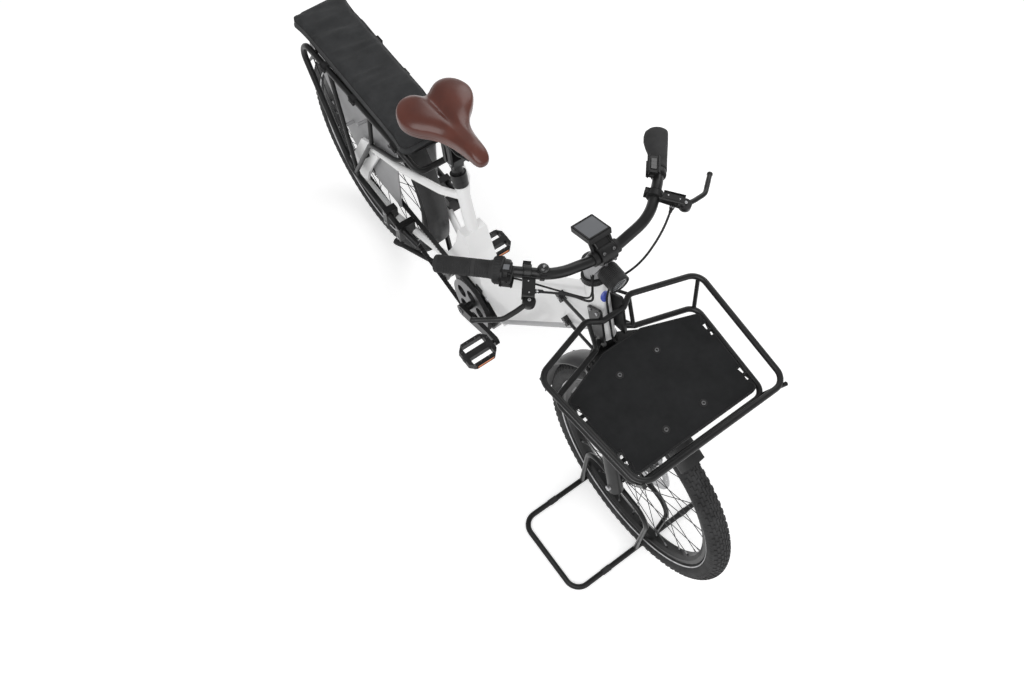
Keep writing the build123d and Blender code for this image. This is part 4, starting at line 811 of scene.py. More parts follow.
def make_folds():
    """Soft slanting folds of the top cloth: place, slant, width, depth, middle and reach."""
    folds = []
    y = pad_low.y + 0.030
    while y < pad_high.y - 0.03:
        depth = rng.choice((-1, 1)) * rng.uniform(0.0020, 0.0042)
        middle_x = rng.uniform(-0.045, 0.045)
        slant = rng.uniform(-0.26, 0.06)
        width = rng.uniform(0.009, 0.017)
        folds.append((y, slant, width, depth, middle_x, rng.uniform(0.035, 0.075)))
        y += rng.uniform(0.014, 0.030)
    return folds


PAD_FOLDS = make_folds()


def fold_height(x, y):
    height = 0.0
    for place, slant, width, depth, middle_x, reach in PAD_FOLDS:
        height += depth * hill((y - place - slant * x) / width) * hill((x - middle_x) / reach)
    return height


def make_cushion():
    inset = Vector((PAD_INSET, PAD_INSET, 0))
    outline = rounded_outline(pad_low + inset, pad_high - inset, PAD_CORNER)
    shape = Shape()
    levels = (pad_low.z + 0.001, pad_high.z - 0.004)
    shape.skin([[shape.bm.verts.new((p.x, p.y, z)) for p in outline] for z in levels])
    piece = shape.make("rear_cushion_cloth", CUSHION, "frame", 180)
    remesh = piece.modifiers.new("remesh", "REMESH")
    remesh.mode = "VOXEL"
    remesh.voxel_size = PAD_VOXEL
    apply_modifiers(piece)
    swell(piece)
    settle(piece)
    smooth_out(piece)
    for vertex in piece.data.vertices:
        lift = ease((vertex.co.z - pad_high.z + 0.010) / 0.008)
        vertex.co.z += lift * fold_height(vertex.co.x, vertex.co.y)
    finish_mesh(piece, 180)
    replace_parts(piece, "rear_cushion")
    make_piping(piece)


def swell(piece):
    """Cloth held out by its filling, with no point moving further than PAD_CAP."""
    rest = [vertex.co.copy() for vertex in piece.data.vertices]
    settings = piece.modifiers.new("cloth", "CLOTH").settings
    settings.use_pressure = True
    settings.uniform_pressure_force = PAD_PRESSURE
    settings.quality = PAD_QUALITY
    settings.effector_weights.gravity = 0
    scene = bpy.context.scene
    for number in range(1, PAD_FRAMES + 1):
        scene.frame_set(number)
    apply_modifiers(piece)
    scene.frame_set(1)
    for vertex, start in zip(piece.data.vertices, rest):
        move = vertex.co - start
        if move.length > PAD_CAP:
            vertex.co = start + move.normalized() * PAD_CAP


def settle(piece):
    """Rests the underside on the deck and draws the side walls in between the corners."""
    for vertex in piece.data.vertices:
        co = vertex.co
        up = (co.z - pad_low.z) / (2 * PAD_HALF.z)
        side = (co.x - PAD_MIDDLE.x) / PAD_HALF.x
        end = (co.y - PAD_MIDDLE.y) / PAD_HALF.y
        waist = math.sin(math.pi * min(max(up, 0), 1)) * PAD_WAIST
        co.x -= side ** 3 * (waist + 0.0022 * (1 - end ** 2) * ease(up))
        co.y -= end ** 5 * (waist + 0.003 * (1 - min(side * side, 1)))
        co.z = min(max(co.z, pad_low.z), pad_high.z + 0.006)


def make_piping(pad):
    """Corded seams round the top and bottom edges."""
    tree = tree_of(pad)
    shape = Shape()
    for level in PIPING_LEVELS:
        height = pad_low.z + 2 * PAD_HALF.z * level
        points = []
        for p in rounded_outline(pad_low, pad_high, PAD_CORNER, 10):
            inner = Vector((PAD_MIDDLE.x, min(max(p.y, pad_low.y + 0.06), pad_high.y - 0.06), height))
            out = (Vector((p.x, p.y, height)) - inner).normalized()
            place = tree.ray_cast(inner + out * 0.5, -out)[0]
            if place is not None:
                points.append(place)
        full = []
        for k, point in enumerate(points):
            after = points[(k + 1) % len(points)]
            steps = max(1, int((after - point).length / PIPING_STEP))
            on_long_side = steps > 3 and abs(after.y - point.y) > PIPING_STEP
            for step in range(steps):
                place = point.lerp(after, step / steps)
                if on_long_side:
                    out = facing(ACROSS, Vector((place.x - PAD_MIDDLE.x, 0, 0)))
                    hit = tree.ray_cast(Vector((PAD_MIDDLE.x, place.y, height)) + out * 0.5, -out)[0]
                    place = place if hit is None else hit
                full.append(place)
        shape.cord(full, PIPING_RADIUS)
    shape.make("rear_cushion_piping", STRAP, "frame", 60)


make_cushion()


# ---------------------------------------------------------------- handlebar trim
GRIP_LENGTH = 0.120
GRIP_RADIUS = 0.0188
GROOVE_PITCH = 0.0034
LEVER_SHARE = 0.6
BELL_SHARE = 0.27
BAR_CLAMP = back(0.271, 1.045)
# to the side, to the rear and up from the clamp
BAR_LOWER_BEND = (0.125, 0.008, 0.017)
BAR_UPPER_BEND = (0.198, 0.068, 0.020)
BAR_TIP = (0.300, 0.177, 0.0)
LEVER_PIVOT = (0.206, -0.012, 0.017)
LEVER_BEND = (0.268, -0.010, 0.008)
LEVER_TIP = (0.318, 0.028, 0.0)
HOSE_START = (0.188, 0.005, 0.019)
HOSE_BEND = (0.126, -0.034, 0.010)
DISPLAY_PLACE = back(0.321, 1.069)
DISPLAY_TILT = math.radians(20)
# the left grip's palm rest: distance along the grip, half width, half depth
PALM_SECTIONS = (
    (-0.0038, 0.0130, 0.0095),
    (-0.0034, 0.0190, 0.0135),
    (-0.0010, 0.0232, 0.0165),
    (0.006, 0.0262, 0.0180),
    (0.018, 0.0274, 0.0184),
    (0.034, 0.0272, 0.0185),
    (0.050, 0.0252, 0.0185),
    (0.066, 0.0222, 0.0184),
    (0.082, 0.0198, 0.0182),
    (0.098, 0.0188, 0.0182),
    (0.112, 0.0190, 0.0186),
    (0.1145, 0.0198, 0.0196),
    (0.119, 0.0198, 0.0196),
    (0.120, 0.0186, 0.0186),
)


def bar_place(side, place):
    return BAR_CLAMP + Vector((side * place[0], *place[1:]))


def bar_end(side):
    """The bar's end and the directions from it to the middle, to the front and to the top."""
    end = bar_place(side, BAR_TIP)
    inward = (bar_place(side, BAR_UPPER_BEND) - end).normalized()
    forward = facing(inward.cross(UP), -REARWARD)
    return end, inward, forward, facing(forward.cross(inward), UP)


def lever_run(side, share):
    """A place on the bar between its two bends, and the bar's direction there."""
    low = bar_place(side, BAR_LOWER_BEND)
    high = bar_place(side, BAR_UPPER_BEND)
    return low.lerp(high, share), (high - low).normalized()


def make_grips():
    shape = Shape()
    end, inward = bar_end(-1)[:2]
    profile = [(0.011, -0.0038), (0.0155, -0.0036), (0.0180, -0.0015), (0.0187, 0.002)]
    place = 0.006
    while place < GRIP_LENGTH - 0.008:
        if abs(place - 0.079) > 0.004:
            for depth, step in ((0, 0), (0.0012, 0.0004), (0.0012, 0.0013), (0, 0.0017)):
                profile.append((GRIP_RADIUS - depth, place + step))
        place += GROOVE_PITCH
    for radius, step in ((0.0190, 0.007), (0.0196, 0.005), (0.0196, 0.001), (GRIP_RADIUS, 0), (0.0125, 0)):
        profile.append((radius, GRIP_LENGTH - step))
    shape.revolve(profile, end, inward, 40)
    end, inward, forward, top = bar_end(1)
    palm, under = -forward, -top
    rings = []
    for along, wide, deep in PALM_SECTIONS:
        centre = end + inward * along + palm * (max(wide, 0.0185) - 0.0185) * 0.9
        rings.append(shape.ring(centre, palm, under, (wide, deep), 40))
    shape.skin(rings)
    for k in range(9):
        for lean in (math.radians(70), math.radians(110)):
            spot = end + inward * (0.018 + k * 0.0075) + palm * (0.010 * math.cos(lean) + 0.004)
            shape.block(spot + under * 0.0178, (0.011, 0.0016, 0.0022), palm, under, 0.0005)
    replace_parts(shape.make("grip_rubbers", GRIP, "steering", 38), "grips")


def make_shifter_trim():
    end, inward, forward, top = bar_end(-1)
    shape = Shape()
    profile = [(0.0205, 0.1195), (0.0268, 0.1210), (0.0276, 0.124)]
    profile += [(0.0276, 0.1395), (0.0264, 0.1420), (0.0205, 0.1430)]
    shape.revolve(profile, end, inward, 48)
    for out in around(inward, 30):
        centre = end + inward * 0.1318 + out * 0.0275
        shape.block(centre, (0.0020, 0.0024, 0.014), out.cross(inward), inward, 0.0006)
    shape.make("shifter_twist_ring", GRIP, "steering")
    housing = Shape()
    profile = [(0.0185, 0.1415), (0.0240, 0.1430), (0.0248, 0.146)]
    profile += [(0.0240, 0.153), (0.0205, 0.1555), (0.0128, 0.156)]
    housing.revolve(profile, end, inward, 40)
    centre = end + inward * 0.150
    pod = centre + top * 0.019 + forward * 0.006
    housing.block(centre - inward * 0.001 + forward * 0.015, (0.020, 0.024, 0.022), inward, top, 0.004, 3)
    housing.block(pod, (0.017, 0.017, 0.010), inward, top, 0.003, 3)
    housing.bolt(centre + forward * 0.026, forward, 0.0032)
    # cable barrel under the bar
    profile = [(0.0042, 0), (0.0046, 0.001), (0.0046, 0.006), (0.0036, 0.0075), (0.0036, 0.012)]
    housing.revolve(profile, end + inward * 0.1415 - top * 0.019, inward, 16)
    housing.make("shifter_housing", PLASTIC, "steering")
    window = Shape().block(pod + top * 0.0053, (0.012, 0.011, 0.0012), inward, top, 0.0005)
    window.make("shifter_gear_window", SCREEN, "steering")


def make_lever_trim():
    shape = Shape()
    steel = Shape()
    for side in (-1, 1):
        clamp, run = lever_run(side, LEVER_SHARE)
        pivot = bar_place(side, LEVER_PIVOT)
        down_body = (pivot - clamp).normalized()
        outer = facing(down_body.cross(run), UP)
        # clamp halves, their bolts and the fluid reservoir
        for shift in (-0.0072, 0.0072):
            shape.revolve(sleeve(0.0165, 0.0178, 0.0011, 0.0007), clamp + run * shift, run, 40)
        rear = clamp - down_body * 0.018
        shape.block(rear, (0.013, 0.007, 0.016), run, outer, 0.0018)
        steel.bolt(rear - down_body * 0.0034 + outer * 0.004, -down_body, 0.0024, 0.0016)
        body_middle = clamp.lerp(pivot, 0.60)
        shape.block(body_middle + outer * 0.0085, (0.019, 0.040, 0.012), run, outer, 0.0035, 3)
        shape.block(body_middle + outer * 0.0148, (0.015, 0.034, 0.0016), run, outer, 0.0006)
        for along in (-0.013, 0.013):
            steel.bolt(body_middle + outer * 0.0154 + down_body * along, outer, 0.0016, 0.0009)
        # lever pivot bolt and hose ferrule
        for sign in (-1, 1):
            steel.bolt(pivot + outer * sign * 0.0100, outer * sign, 0.0034, 0.0020)
        shape.revolve(sleeve(0.0130, 0.0138, 0.0075, 0.0013), pivot, outer, 28)
        hose = bar_place(side, HOSE_START)
        away = (bar_place(side, HOSE_BEND) - hose).normalized()
        start = hose + away * 0.006
        profile = [(0.0048, 0), (0.0050, 0.001), (0.0050, 0.009)]
        profile += [(0.0040, 0.010), (0.0034, 0.018), (0.0026, 0.019)]
        shape.revolve(profile, start, away, 20)
        collar = sleeve(0.0052, 0.0056, 0.003, 0.0006)
        steel.revolve(collar + collar[:1], start + away * 0.005, away, 6)
        # rounded tip and knurls of the finger hook
        tip = bar_place(side, LEVER_TIP)
        before = bar_place(side, LEVER_BEND)
        along = (tip - before).normalized()
        profile = [(0.0050, -0.006), (0.0062, -0.003), (0.0068, 0)]
        profile += [(0.0062, 0.003), (0.0040, 0.0052), (0.0004, 0.006)]
        shape.revolve(profile, tip - along * 0.003, along, 24)
        for k in range(5):
            shape.revolve(bead(0.0054, 0.0005, 0.0009), before.lerp(tip, 0.28 + 0.09 * k), along, 24)
    shape.make("brake_lever_bodies", BLACK, "steering")
    steel.make("brake_lever_bolts", STEEL, "steering")


def make_bell():
    place, run = lever_run(-1, BELL_SHARE)
    level = (UP - run * UP.dot(run)).normalized()
    forward = facing(level.cross(run), -REARWARD)
    base = place + level * 0.0138
    band = Shape()
    band.revolve(sleeve(0.0124, 0.0142, 0.005, 0.0004), place, run, 32)
    profile = [(0.0065, -0.002), (0.0065, 0.002), (0.0115, 0.0030)]
    profile += [(0.0128, 0.0042), (0.0128, 0.0056), (0.0118, 0.0064)]
    band.revolve(profile, base, level, 32)
    band.block(base + forward * 0.0145 + level * 0.0035, (0.005, 0.009, 0.0035), run, level, 0.0012)
    band.bolt(place - level * 0.0150 + forward * 0.004, forward, 0.0024, 0.0018)
    band.make("bell_clamp", PLASTIC, "steering")
    profile = [(0.0112, 0.0060), (0.0118, 0.0066), (0.0114, 0.0100), (0.0098, 0.0130)]
    profile += [(0.0070, 0.0152), (0.0036, 0.0163), (0.0003, 0.0166)]
    Shape().revolve(profile, base, level, 40).make("bell_dome", GLOSS, "steering", 60)
    Shape().bolt(base + level * 0.0162, level, 0.0026, 0.0012).make("bell_screw", STEEL, "steering")


def make_remote():
    """Thumb switch for the motor's assistance beside the left grip."""
    end, inward, forward, top = bar_end(1)
    shape = Shape()
    profile = [(0.0126, 0.1215), (0.0172, 0.1222), (0.0176, 0.1245)]
    profile += [(0.0176, 0.1335), (0.0170, 0.136), (0.0126, 0.1368)]
    shape.revolve(profile, end, inward, 36)
    centre = end + inward * 0.122 - forward * 0.013 + top * 0.012
    shape.block(centre, (0.040, 0.019, 0.017), inward, top, 0.005, 3)
    shape.bolt(end + inward * 0.129 - top * 0.0176, -top, 0.0028, 0.0018)
    shape.make("assist_switch_body", PLASTIC, "steering")
    keys = Shape()
    for along in (-0.0105, 0.0, 0.0105):
        keys.block(centre + top * 0.0088 + inward * along, (0.0082, 0.012, 0.0026), inward, top, 0.0010)
    keys.make("assist_switch_keys", GLOSS, "steering")


def make_stem_trim():
    shape = Shape()
    profile = [(0.0124, -0.0200), (0.0206, -0.0200), (0.0220, -0.0188)]
    profile += [(radius, -along) for radius, along in reversed(profile)]
    shape.revolve(profile, BAR_CLAMP, ACROSS, 48)
    for side in (-1, 1):
        shape.revolve(sleeve(0.0124, 0.0156, 0.0035, 0.0005), BAR_CLAMP + ACROSS * side * 0.0262, ACROSS, 36)
    # mount block between the clamp and the display
    mount = BAR_CLAMP + Vector((0, 0.016, 0.018))
    shape.block(mount, (0.030, 0.026, 0.012), ACROSS, (0, -0.34, 0.94), 0.003, 3)
    shape.make("stem_faceplate", BLACK, "steering")
    steel = Shape()
    front_way = Vector((0, -0.92, 0.38)).normalized()
    rise = Vector((0, 0.38, 0.92)).normalized()
    for x in (-0.0125, 0.0125):
        for up in (-0.0145, 0.0145):
            steel.bolt(BAR_CLAMP + ACROSS * x + rise * up + front_way * 0.0168, front_way, 0.0036, 0.0022)
    for up in (-0.012, 0.012):
        steel.bolt_on("stem", on_steering(0.012, 0.2, 0.689 + up), -steer_back, 0.0032, 0.0020)
    cap = on_steering(0, 0, 0.7105)
    steel.bolt(cap + steer_up * 0.0015, steer_up, 0.0040, 0.0026)
    steel.make("stem_bolts", DARK_STEEL, "steering")
    profile = [(0.0205, -0.001), (0.0222, 0.0), (0.0222, 0.0012), (0.0200, 0.0022), (0.006, 0.0026)]
    Shape().revolve(profile, cap, steer_up, 40).make("stem_cap", BLACK, "steering")
    rings = Shape()
    for level in (0.6560, 0.6600, 0.6640):
        rings.revolve(bead(0.0300, 0.0006, 0.0008), on_steering(0, 0, level), steer_up, 48)
    rings.make("headset_cap_rings", BLACK, "frame")


def make_display_trim():
    normal = Vector((0, math.sin(DISPLAY_TILT), math.cos(DISPLAY_TILT)))
    lean = normal.cross(ACROSS).normalized()
    glass = Shape().block(DISPLAY_PLACE + normal * 0.0062, (0.050, 0.054, 0.0014), ACROSS, normal, 0.0006)
    glass.make("display_glass", SCREEN, "steering")
    rim = Shape()
    face = DISPLAY_PLACE + normal * 0.0066
    for sign in (-1, 1):
        rim.block(face + ACROSS * sign * 0.0262, (0.0020, 0.0575, 0.0020), ACROSS, normal, 0.0006)
        rim.block(face + lean * sign * 0.0280, (0.0545, 0.0020, 0.0020), ACROSS, normal, 0.0006)
    for k in (-1, 0, 1):
        vent = DISPLAY_PLACE - normal * 0.0064 + lean * k * 0.014
        rim.block(vent, (0.030, 0.004, 0.0016), ACROSS, normal, 0.0005)
    rim.make("display_rim", GLOSS, "steering")


def make_headlight_trim():
    low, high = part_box("headlight")
    centre = Vector((0, low.y, (low.z + high.z) / 2))
    forward = -REARWARD
    profile = [(0.0190, -0.003), (0.0194, 0.0004), (0.0160, 0.0022), (0.0090, 0.0034), (0.0003, 0.0038)]
    Shape().revolve(profile, centre, forward, 40).make("headlight_lens", LENS, "steering", 50)
    bezel = Shape()
    profile = [(0.0195, -0.002), (0.0236, -0.002), (0.0244, 0.0006)]
    profile += [(0.0236, 0.0028), (0.0206, 0.0030), (0.0193, 0.0010)]
    bezel.revolve(profile, centre, forward, 48)
    for k in range(9):
        bezel.revolve(bead(0.0236, 0.0012, 0.0008), centre - forward * (0.012 + 0.0034 * k), forward, 48)
    for k in range(5):
        spot = (0, high.y - 0.004 - 0.0032 * k, centre.z)
        bezel.revolve(bead(0.0088, 0.0016, 0.0010), spot, forward, 32)
    bezel.make("headlight_bezel", PLASTIC, "steering")
    profile = [(0.0186, 0.0002), (0.0080, -0.0001), (0.0003, -0.0002)]
    Shape().revolve(profile, centre, forward, 32).make("headlight_reflector", CHROME, "steering", 50)


make_grips()
make_shifter_trim()
make_lever_trim()
make_bell()
make_remote()
make_stem_trim()
make_display_trim()
make_headlight_trim()


# ---------------------------------------------------------------- drive trim
BELT_TOOTH_PITCH = 0.011
# to the rear and up from the crank's middle
MOTOR_SCREWS = (
    (-0.048, 0.036),
    (-0.030, -0.040),
    (0.050, -0.036),
    (0.072, 0.028),
    (0.0, 0.062),
    (0.050, 0.052),
)


def make_pedal_trim(node):
    centre = middle(node)
    wide, deep = half_size(node).xy
    pins, reflectors, caps = Shape(), Shape(), Shape()
    pin_places = [(sx, sy) for sx in (-0.72, -0.28, 0.28, 0.72) for sy in (-0.88, 0.88)]
    pin_places += [(-0.90, 0.42), (0.90, 0.42)]
    for face in (-1, 1):
        for sx, sy in pin_places:
            start = centre + Vector((sx * wide, sy * deep, face * 0.08))
            pins.bolt_on(node, start, (0, 0, -face), 0.0022, 0.0030, 0.9)
    for end in (-1, 1):
        edge = centre + REARWARD * end * (deep + 0.0004)
        reflectors.block(edge + REARWARD * end * 0.0002, (wide * 1.10, 0.0022, 0.010), bevel=0.0008)
        for rise in (-0.007, 0.007):
            caps.block(edge + UP * rise, (wide * 1.24, 0.0026, 0.0026), bevel=0.0008)
    profile = [(0.0086, -0.002), (0.0092, 0), (0.0092, 0.0018), (0.0070, 0.0026), (0.0003, 0.0028)]
    for sign in (-1, 1):
        caps.revolve(profile, centre + ACROSS * sign * (wide - 0.0005), ACROSS * sign, 28)
    pins.make(node + "_pins", DARK_STEEL, node)
    reflectors.make(node + "_reflectors", AMBER, node)
    caps.make(node + "_caps", PLASTIC, node)


def belt_path():
    """Tangent lines of the belt round its two sprockets: start, end and outward direction."""
    one, two = middle("front_sprocket"), middle("rear_sprocket")
    big, small = half_size("front_sprocket").z, half_size("rear_sprocket").z
    one.x = two.x = 0
    gap = two - one
    lean = math.acos((big - small) / gap.length)
    base = math.atan2(gap.z, gap.y)
    lines = []
    for sign in (-1, 1):
        out = Vector((0, math.cos(base + sign * lean), math.sin(base + sign * lean)))
        lines.append((one + out * big, two + out * small, out))
    return lines


def make_drive_trim():
    belt_x = middle("drive_belt").x
    teeth = Shape()
    for start, stop, out in belt_path():
        count = int((stop - start).length / BELT_TOOTH_PITCH)
        for k in range(count):
            spot = start.lerp(stop, 0.02 + 0.96 * (k + 0.5) / count) - out * 0.0008
            spot.x = belt_x
            teeth.block(spot, (0.0114, 0.0042, 0.0026), ACROSS, out, 0.0007, 1)
    teeth.make("drive_belt_teeth", GRIP, "frame")
    bolts = Shape()
    for out in wheel_ways(5, 90):
        spot = crank_centre + out * 0.052
        bolts.bolt_on("front_sprocket", Vector((-OUTSIDE, spot.y, spot.z)), ACROSS, 0.0048, 0.0022)
    cap = [(0.0095, -0.001), (0.0105, 0.0), (0.0105, 0.0022), (0.0090, 0.0030)]
    cap += [(0.0052, 0.0030), (0.0050, 0.0010), (0.0003, 0.0010)]
    cover = [(0.030, -0.002), (0.0335, 0), (0.0335, 0.0014)]
    cover += [(0.0310, 0.0030), (0.0190, 0.0034), (0.0185, 0.0006)]
    covers = Shape()
    for side in (-1, 1):
        out = ACROSS * side
        place = touch("cranks", crank_centre + out * OUTSIDE, -out)[0]
        if place is not None:
            bolts.revolve(cap, place, out, 32)
        covers.revolve(cover, crank_centre + out * 0.0387, out, 56)
    bolts.make("crank_bolts", DARK_STEEL, "crank")
    spots = [(crank_centre.y + y, crank_centre.z + z) for y, z in MOTOR_SCREWS]
    side_bolts(covers, "motor", spots, 0.0042, 0.0022, 0.9, (0.03, 0.3))
    covers.make("motor_covers", PLASTIC, "frame")


def make_wheel_bolts(prefix):
    """Brake rotor bolts and turned rings on the hub of one wheel."""
    disc, hub, body = prefix + "_brake_disc", prefix + "_hub", prefix + "_wheel"
    centre = middle(prefix + "_tyre")
    steel = Shape()
    for way in wheel_ways(6, 30):
        spot = centre + way * 0.022
        steel.bolt_on(disc, Vector((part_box(disc)[1].x + 0.2, spot.y, spot.z)), -ACROSS, 0.0036, 0.0016)
    steel.make(prefix + "_rotor_bolts", DARK_STEEL, body)
    rings = Shape()
    for share in (-0.5, -0.2, 0.1, 0.4):
        x = share * half_size(hub).x
        place = touch(hub, (x, centre.y, centre.z + 0.3), -UP)[0]
        if place is not None:
            radius = place.z - centre.z - 0.0004
            rings.revolve(bead(radius, 0.0011, 0.0012), (place.x, centre.y, centre.z), ACROSS, 56)
    rings.make(prefix + "_hub_rings", BLACK, body)


make_pedal_trim("left_pedal")
make_pedal_trim("right_pedal")
make_drive_trim()
make_wheel_bolts("front")
make_wheel_bolts("rear")


# ---------------------------------------------------------------- frame trim
RAIL_RADIUS = 0.009
RAIL_HEIGHT = 0.708
STRAP_PLACES = (0.360, 0.560, 0.705)
# to the rear and up
PANEL_SCREWS = (
    (0.420, 0.640),
    (0.560, 0.668),
    (0.700, 0.668),
    (0.560, 0.420),
    (0.650, 0.440),
    (0.780, 0.640),
)
DROPOUT_BOLTS = ((0.478, 0.330), (0.640, 0.372), (0.480, 0.560))
BADGE_HEIGHT = 0.615
HEAD_TUBE_RADIUS = 0.027
RIVET_PITCH = 24


def make_frame_trim():
    bolts, black, rings = Shape(), Shape(), Shape()
    # collar and bolt at the seat tube's mouth
    points = [vertex.co for vertex in nodes["seat_tube"].data.vertices]
    low, top = extent(points)
    band = (top.z - low.z) * 0.06
    high = average([point for point in points if point.z > top.z - band])
    way = (high - average([point for point in points if point.z < low.z + band])).normalized()
    rear_side = Vector((0, way.z, -way.y))
    profile = [(0.0182, -0.018), (0.0212, -0.0172), (0.0212, -0.0010), (0.0196, 0), (0.0158, 0.0002)]
    black.revolve(profile, high, way, 48)
    ear = high - way * 0.009 + rear_side * 0.0235
    black.block(ear, (0.014, 0.010, 0.014), ACROSS, way, 0.0022)
    bolts.bolt(ear + rear_side * 0.001 + ACROSS * 0.007, ACROSS, 0.0036, 0.0028)
    rings.revolve(bead(0.0178, 0.0014, 0.0016), high - way * 0.024, way, 48)
    # ribbed boot on the suspension seatpost
    post_side = touch("seatpost", high + way * 0.03 + ACROSS * 0.2, -ACROSS, high)[0]
    for k in range(5):
        profile = bead(max(abs(post_side.x), 0.012), 0.0022, 0.0016)
        black.revolve(profile, high + way * (0.010 + 0.0045 * k), way, 40)
    black.make("seat_collar", BLACK, "frame")
    for name in ("rack_stay_blocks", "rail_clamps"):
        for points in islands(name):
            low, top = extent(points)
            spot, rise = (low + top) / 2, top.z - low.z
            side = 1 if spot.x > 0 else -1
            for level in (0.0,) if rise < 0.04 else (-0.36, 0.36):
                start = (side * OUTSIDE, spot.y, spot.z + level * rise)
                bolts.bolt_on(name, start, ACROSS * -side, 0.0040, 0.0026, 0.6)
    side_bolts(bolts, "dropouts", DROPOUT_BOLTS, 0.0046, 0.0030, 0.8)
    spots = [on_steering(0, rearward, up).yz for up in (0.500, 0.545, 0.590) for rearward in (-0.012, -0.036)]
    side_bolts(bolts, "front_rack_frame", spots, 0.0042, 0.0026, 0.8, (0.0, 0.05))
    bolts.make("frame_bolts", STEEL, "frame")
    for level in (0.482, 0.652):
        rings.revolve(bead(0.0268, 0.0016, 0.0016), on_steering(0, 0, level), steer_up, 56)
    rings.make("frame_tube_rings", WHITE, "frame", 50)


def make_badge():
    """A plain domed oval that follows the head tube's curve."""
    near = on_steering(0, -HEAD_TUBE_RADIUS, BADGE_HEIGHT)
    place = touch("head_tube", near - steer_back * OUTSIDE, steer_back, near)[0]
    shape = Shape()
    rings = []
    for lift, share in ((-0.0008, 1.0), (0.0010, 1.0), (0.0016, 0.86), (0.0019, 0.5)):
        ring = []
        for k in range(36):
            angle = 2 * math.pi * k / 36
            x = 0.0105 * share * math.cos(angle)
            up = 0.0150 * share * math.sin(angle)
            bend = HEAD_TUBE_RADIUS - math.sqrt(HEAD_TUBE_RADIUS ** 2 - x * x)
            ring.append(shape.bm.verts.new(place + ACROSS * x + steer_up * up - steer_back * (lift - bend)))
        rings.append(ring)
    shape.skin(rings)
    shape.make("head_badge", BADGE, "frame", 50)


def make_motor_bracket_trim():
    """Charging port and the round fastener beside it, on the bracket's right side."""
    low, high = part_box("motor_bracket")
    near = Vector((low.x, low.y + 0.43 * (high.y - low.y), 0.392))
    port = touch("motor_bracket", near - ACROSS * OUTSIDE, ACROSS, near)[0]
    body = Shape().block(port - ACROSS * 0.0008, (0.0042, 0.026, 0.017), bevel=0.0016, steps=3)
    body.make("charging_port", PLASTIC, "frame")
    flap = Shape().block(port - ACROSS * 0.0030, (0.0016, 0.018, 0.010), bevel=0.0006)
    flap.make("charging_port_flap", GRIP, "frame")
    steel = Shape()
    steel.bolt_on("motor_bracket", (-OUTSIDE, low.y + 0.30 * (high.y - low.y), 0.386), ACROSS, 0.0090, 0.0034)
    steel.make("motor_bracket_bolt", STEEL, "frame")


def make_front_board_trim():
    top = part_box("front_rack_board")[1].z
    steel, washers, edge = Shape(), Shape(), Shape()
    washer = [(0.0062, -0.0005), (0.0092, 0.0), (0.0092, 0.0007), (0.0075, 0.0012), (0.0062, 0.0012)]
    for x in (-0.0575, 0.0500):
        for y in (-0.532, -0.690):
            steel.bolt((x, y, top), UP, 0.0052, 0.0026)
            washers.revolve(washer, (x, y, top), UP, 32)
    steel.make("front_board_bolts", DARK_STEEL, "frame")
    washers.make("front_board_washers", PLASTIC, "frame")
    rim = [v.co.copy() for v in nodes["front_rack_board"].data.vertices if v.co.z > top - 0.0004]
    centre = average(rim)
    rim.sort(key=lambda p: math.atan2(p.y - centre.y, p.x - centre.x))
    seam = rim[:1]
    for point in rim:
        if (point - seam[-1]).length > 0.002:
            seam.append(point)
    edge.cord([p + (centre - p).normalized() * 0.002 for p in seam], 0.0012)
    edge.make("front_board_edge_seam", STRAP, "frame", 60, "black_plastic")


def make_rear_rack_trim():
    steel, webbing, clips, lens = Shape(), Shape(), Shape(), Shape()
    strap = sleeve(RAIL_RADIUS, 0.0104, 0.010, 0.0002)
    for side in (-1, 1):
        for y in STRAP_PLACES:
            rail = touch("rear_rack_rails", (side * OUTSIDE, y, RAIL_HEIGHT), ACROSS * -side)[0]
            if rail is None:
                continue
            centre = Vector((rail.x - side * RAIL_RADIUS, y, RAIL_HEIGHT))
            webbing.revolve(strap + strap[:1], centre, REARWARD, 32)
            clips.block(centre + Vector((side * 0.0098, 0, -0.001)), (0.004, 0.024, 0.013), bevel=0.0014)
            clips.block(centre + Vector((side * 0.0120, 0, -0.001)), (0.002, 0.015, 0.006), bevel=0.0007)
    webbing.make("cushion_straps", STRAP, "frame")
    clips.make("cushion_strap_buckles", PLASTIC, "frame")
    side_bolts(steel, "side_panels", PANEL_SCREWS, 0.0050, 0.0022, 0.6)
    steel.make("side_panel_screws", DARK_STEEL, "frame")
    low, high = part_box("rear_light")
    for k in range(11):
        x = low.x + 0.008 + (high.x - low.x - 0.016) * k / 10
        size = (0.0040, 0.0018, (high.z - low.z) * 0.62)
        lens.block((x, high.y + 0.0002, (low.z + high.z) / 2), size, bevel=0.0006)
    lens.make("rear_light_ribs", RED, "frame")


def make_guard_trim(prefix, body, first_angle, last_angle, turned):
    """Rivets along a mudguard, at angles above the level of the axle."""
    centre = middle(prefix + "_tyre")
    shape = Shape()
    for degrees in range(first_angle, last_angle, RIVET_PITCH):
        angle = math.radians(180 - degrees if turned else degrees)
        way = Vector((0, math.cos(angle), math.sin(angle)))
        for x in (-0.022, 0.022):
            place = touch(prefix + "_mudguard", centre + way * 0.6 + ACROSS * x, -way)[0]
            if place is not None and 0.33 < (place - centre).length < 0.40:
                shape.bolt(place, way, 0.0030, 0.0014)
    shape.make(prefix + "_guard_rivets", DARK_STEEL, body)


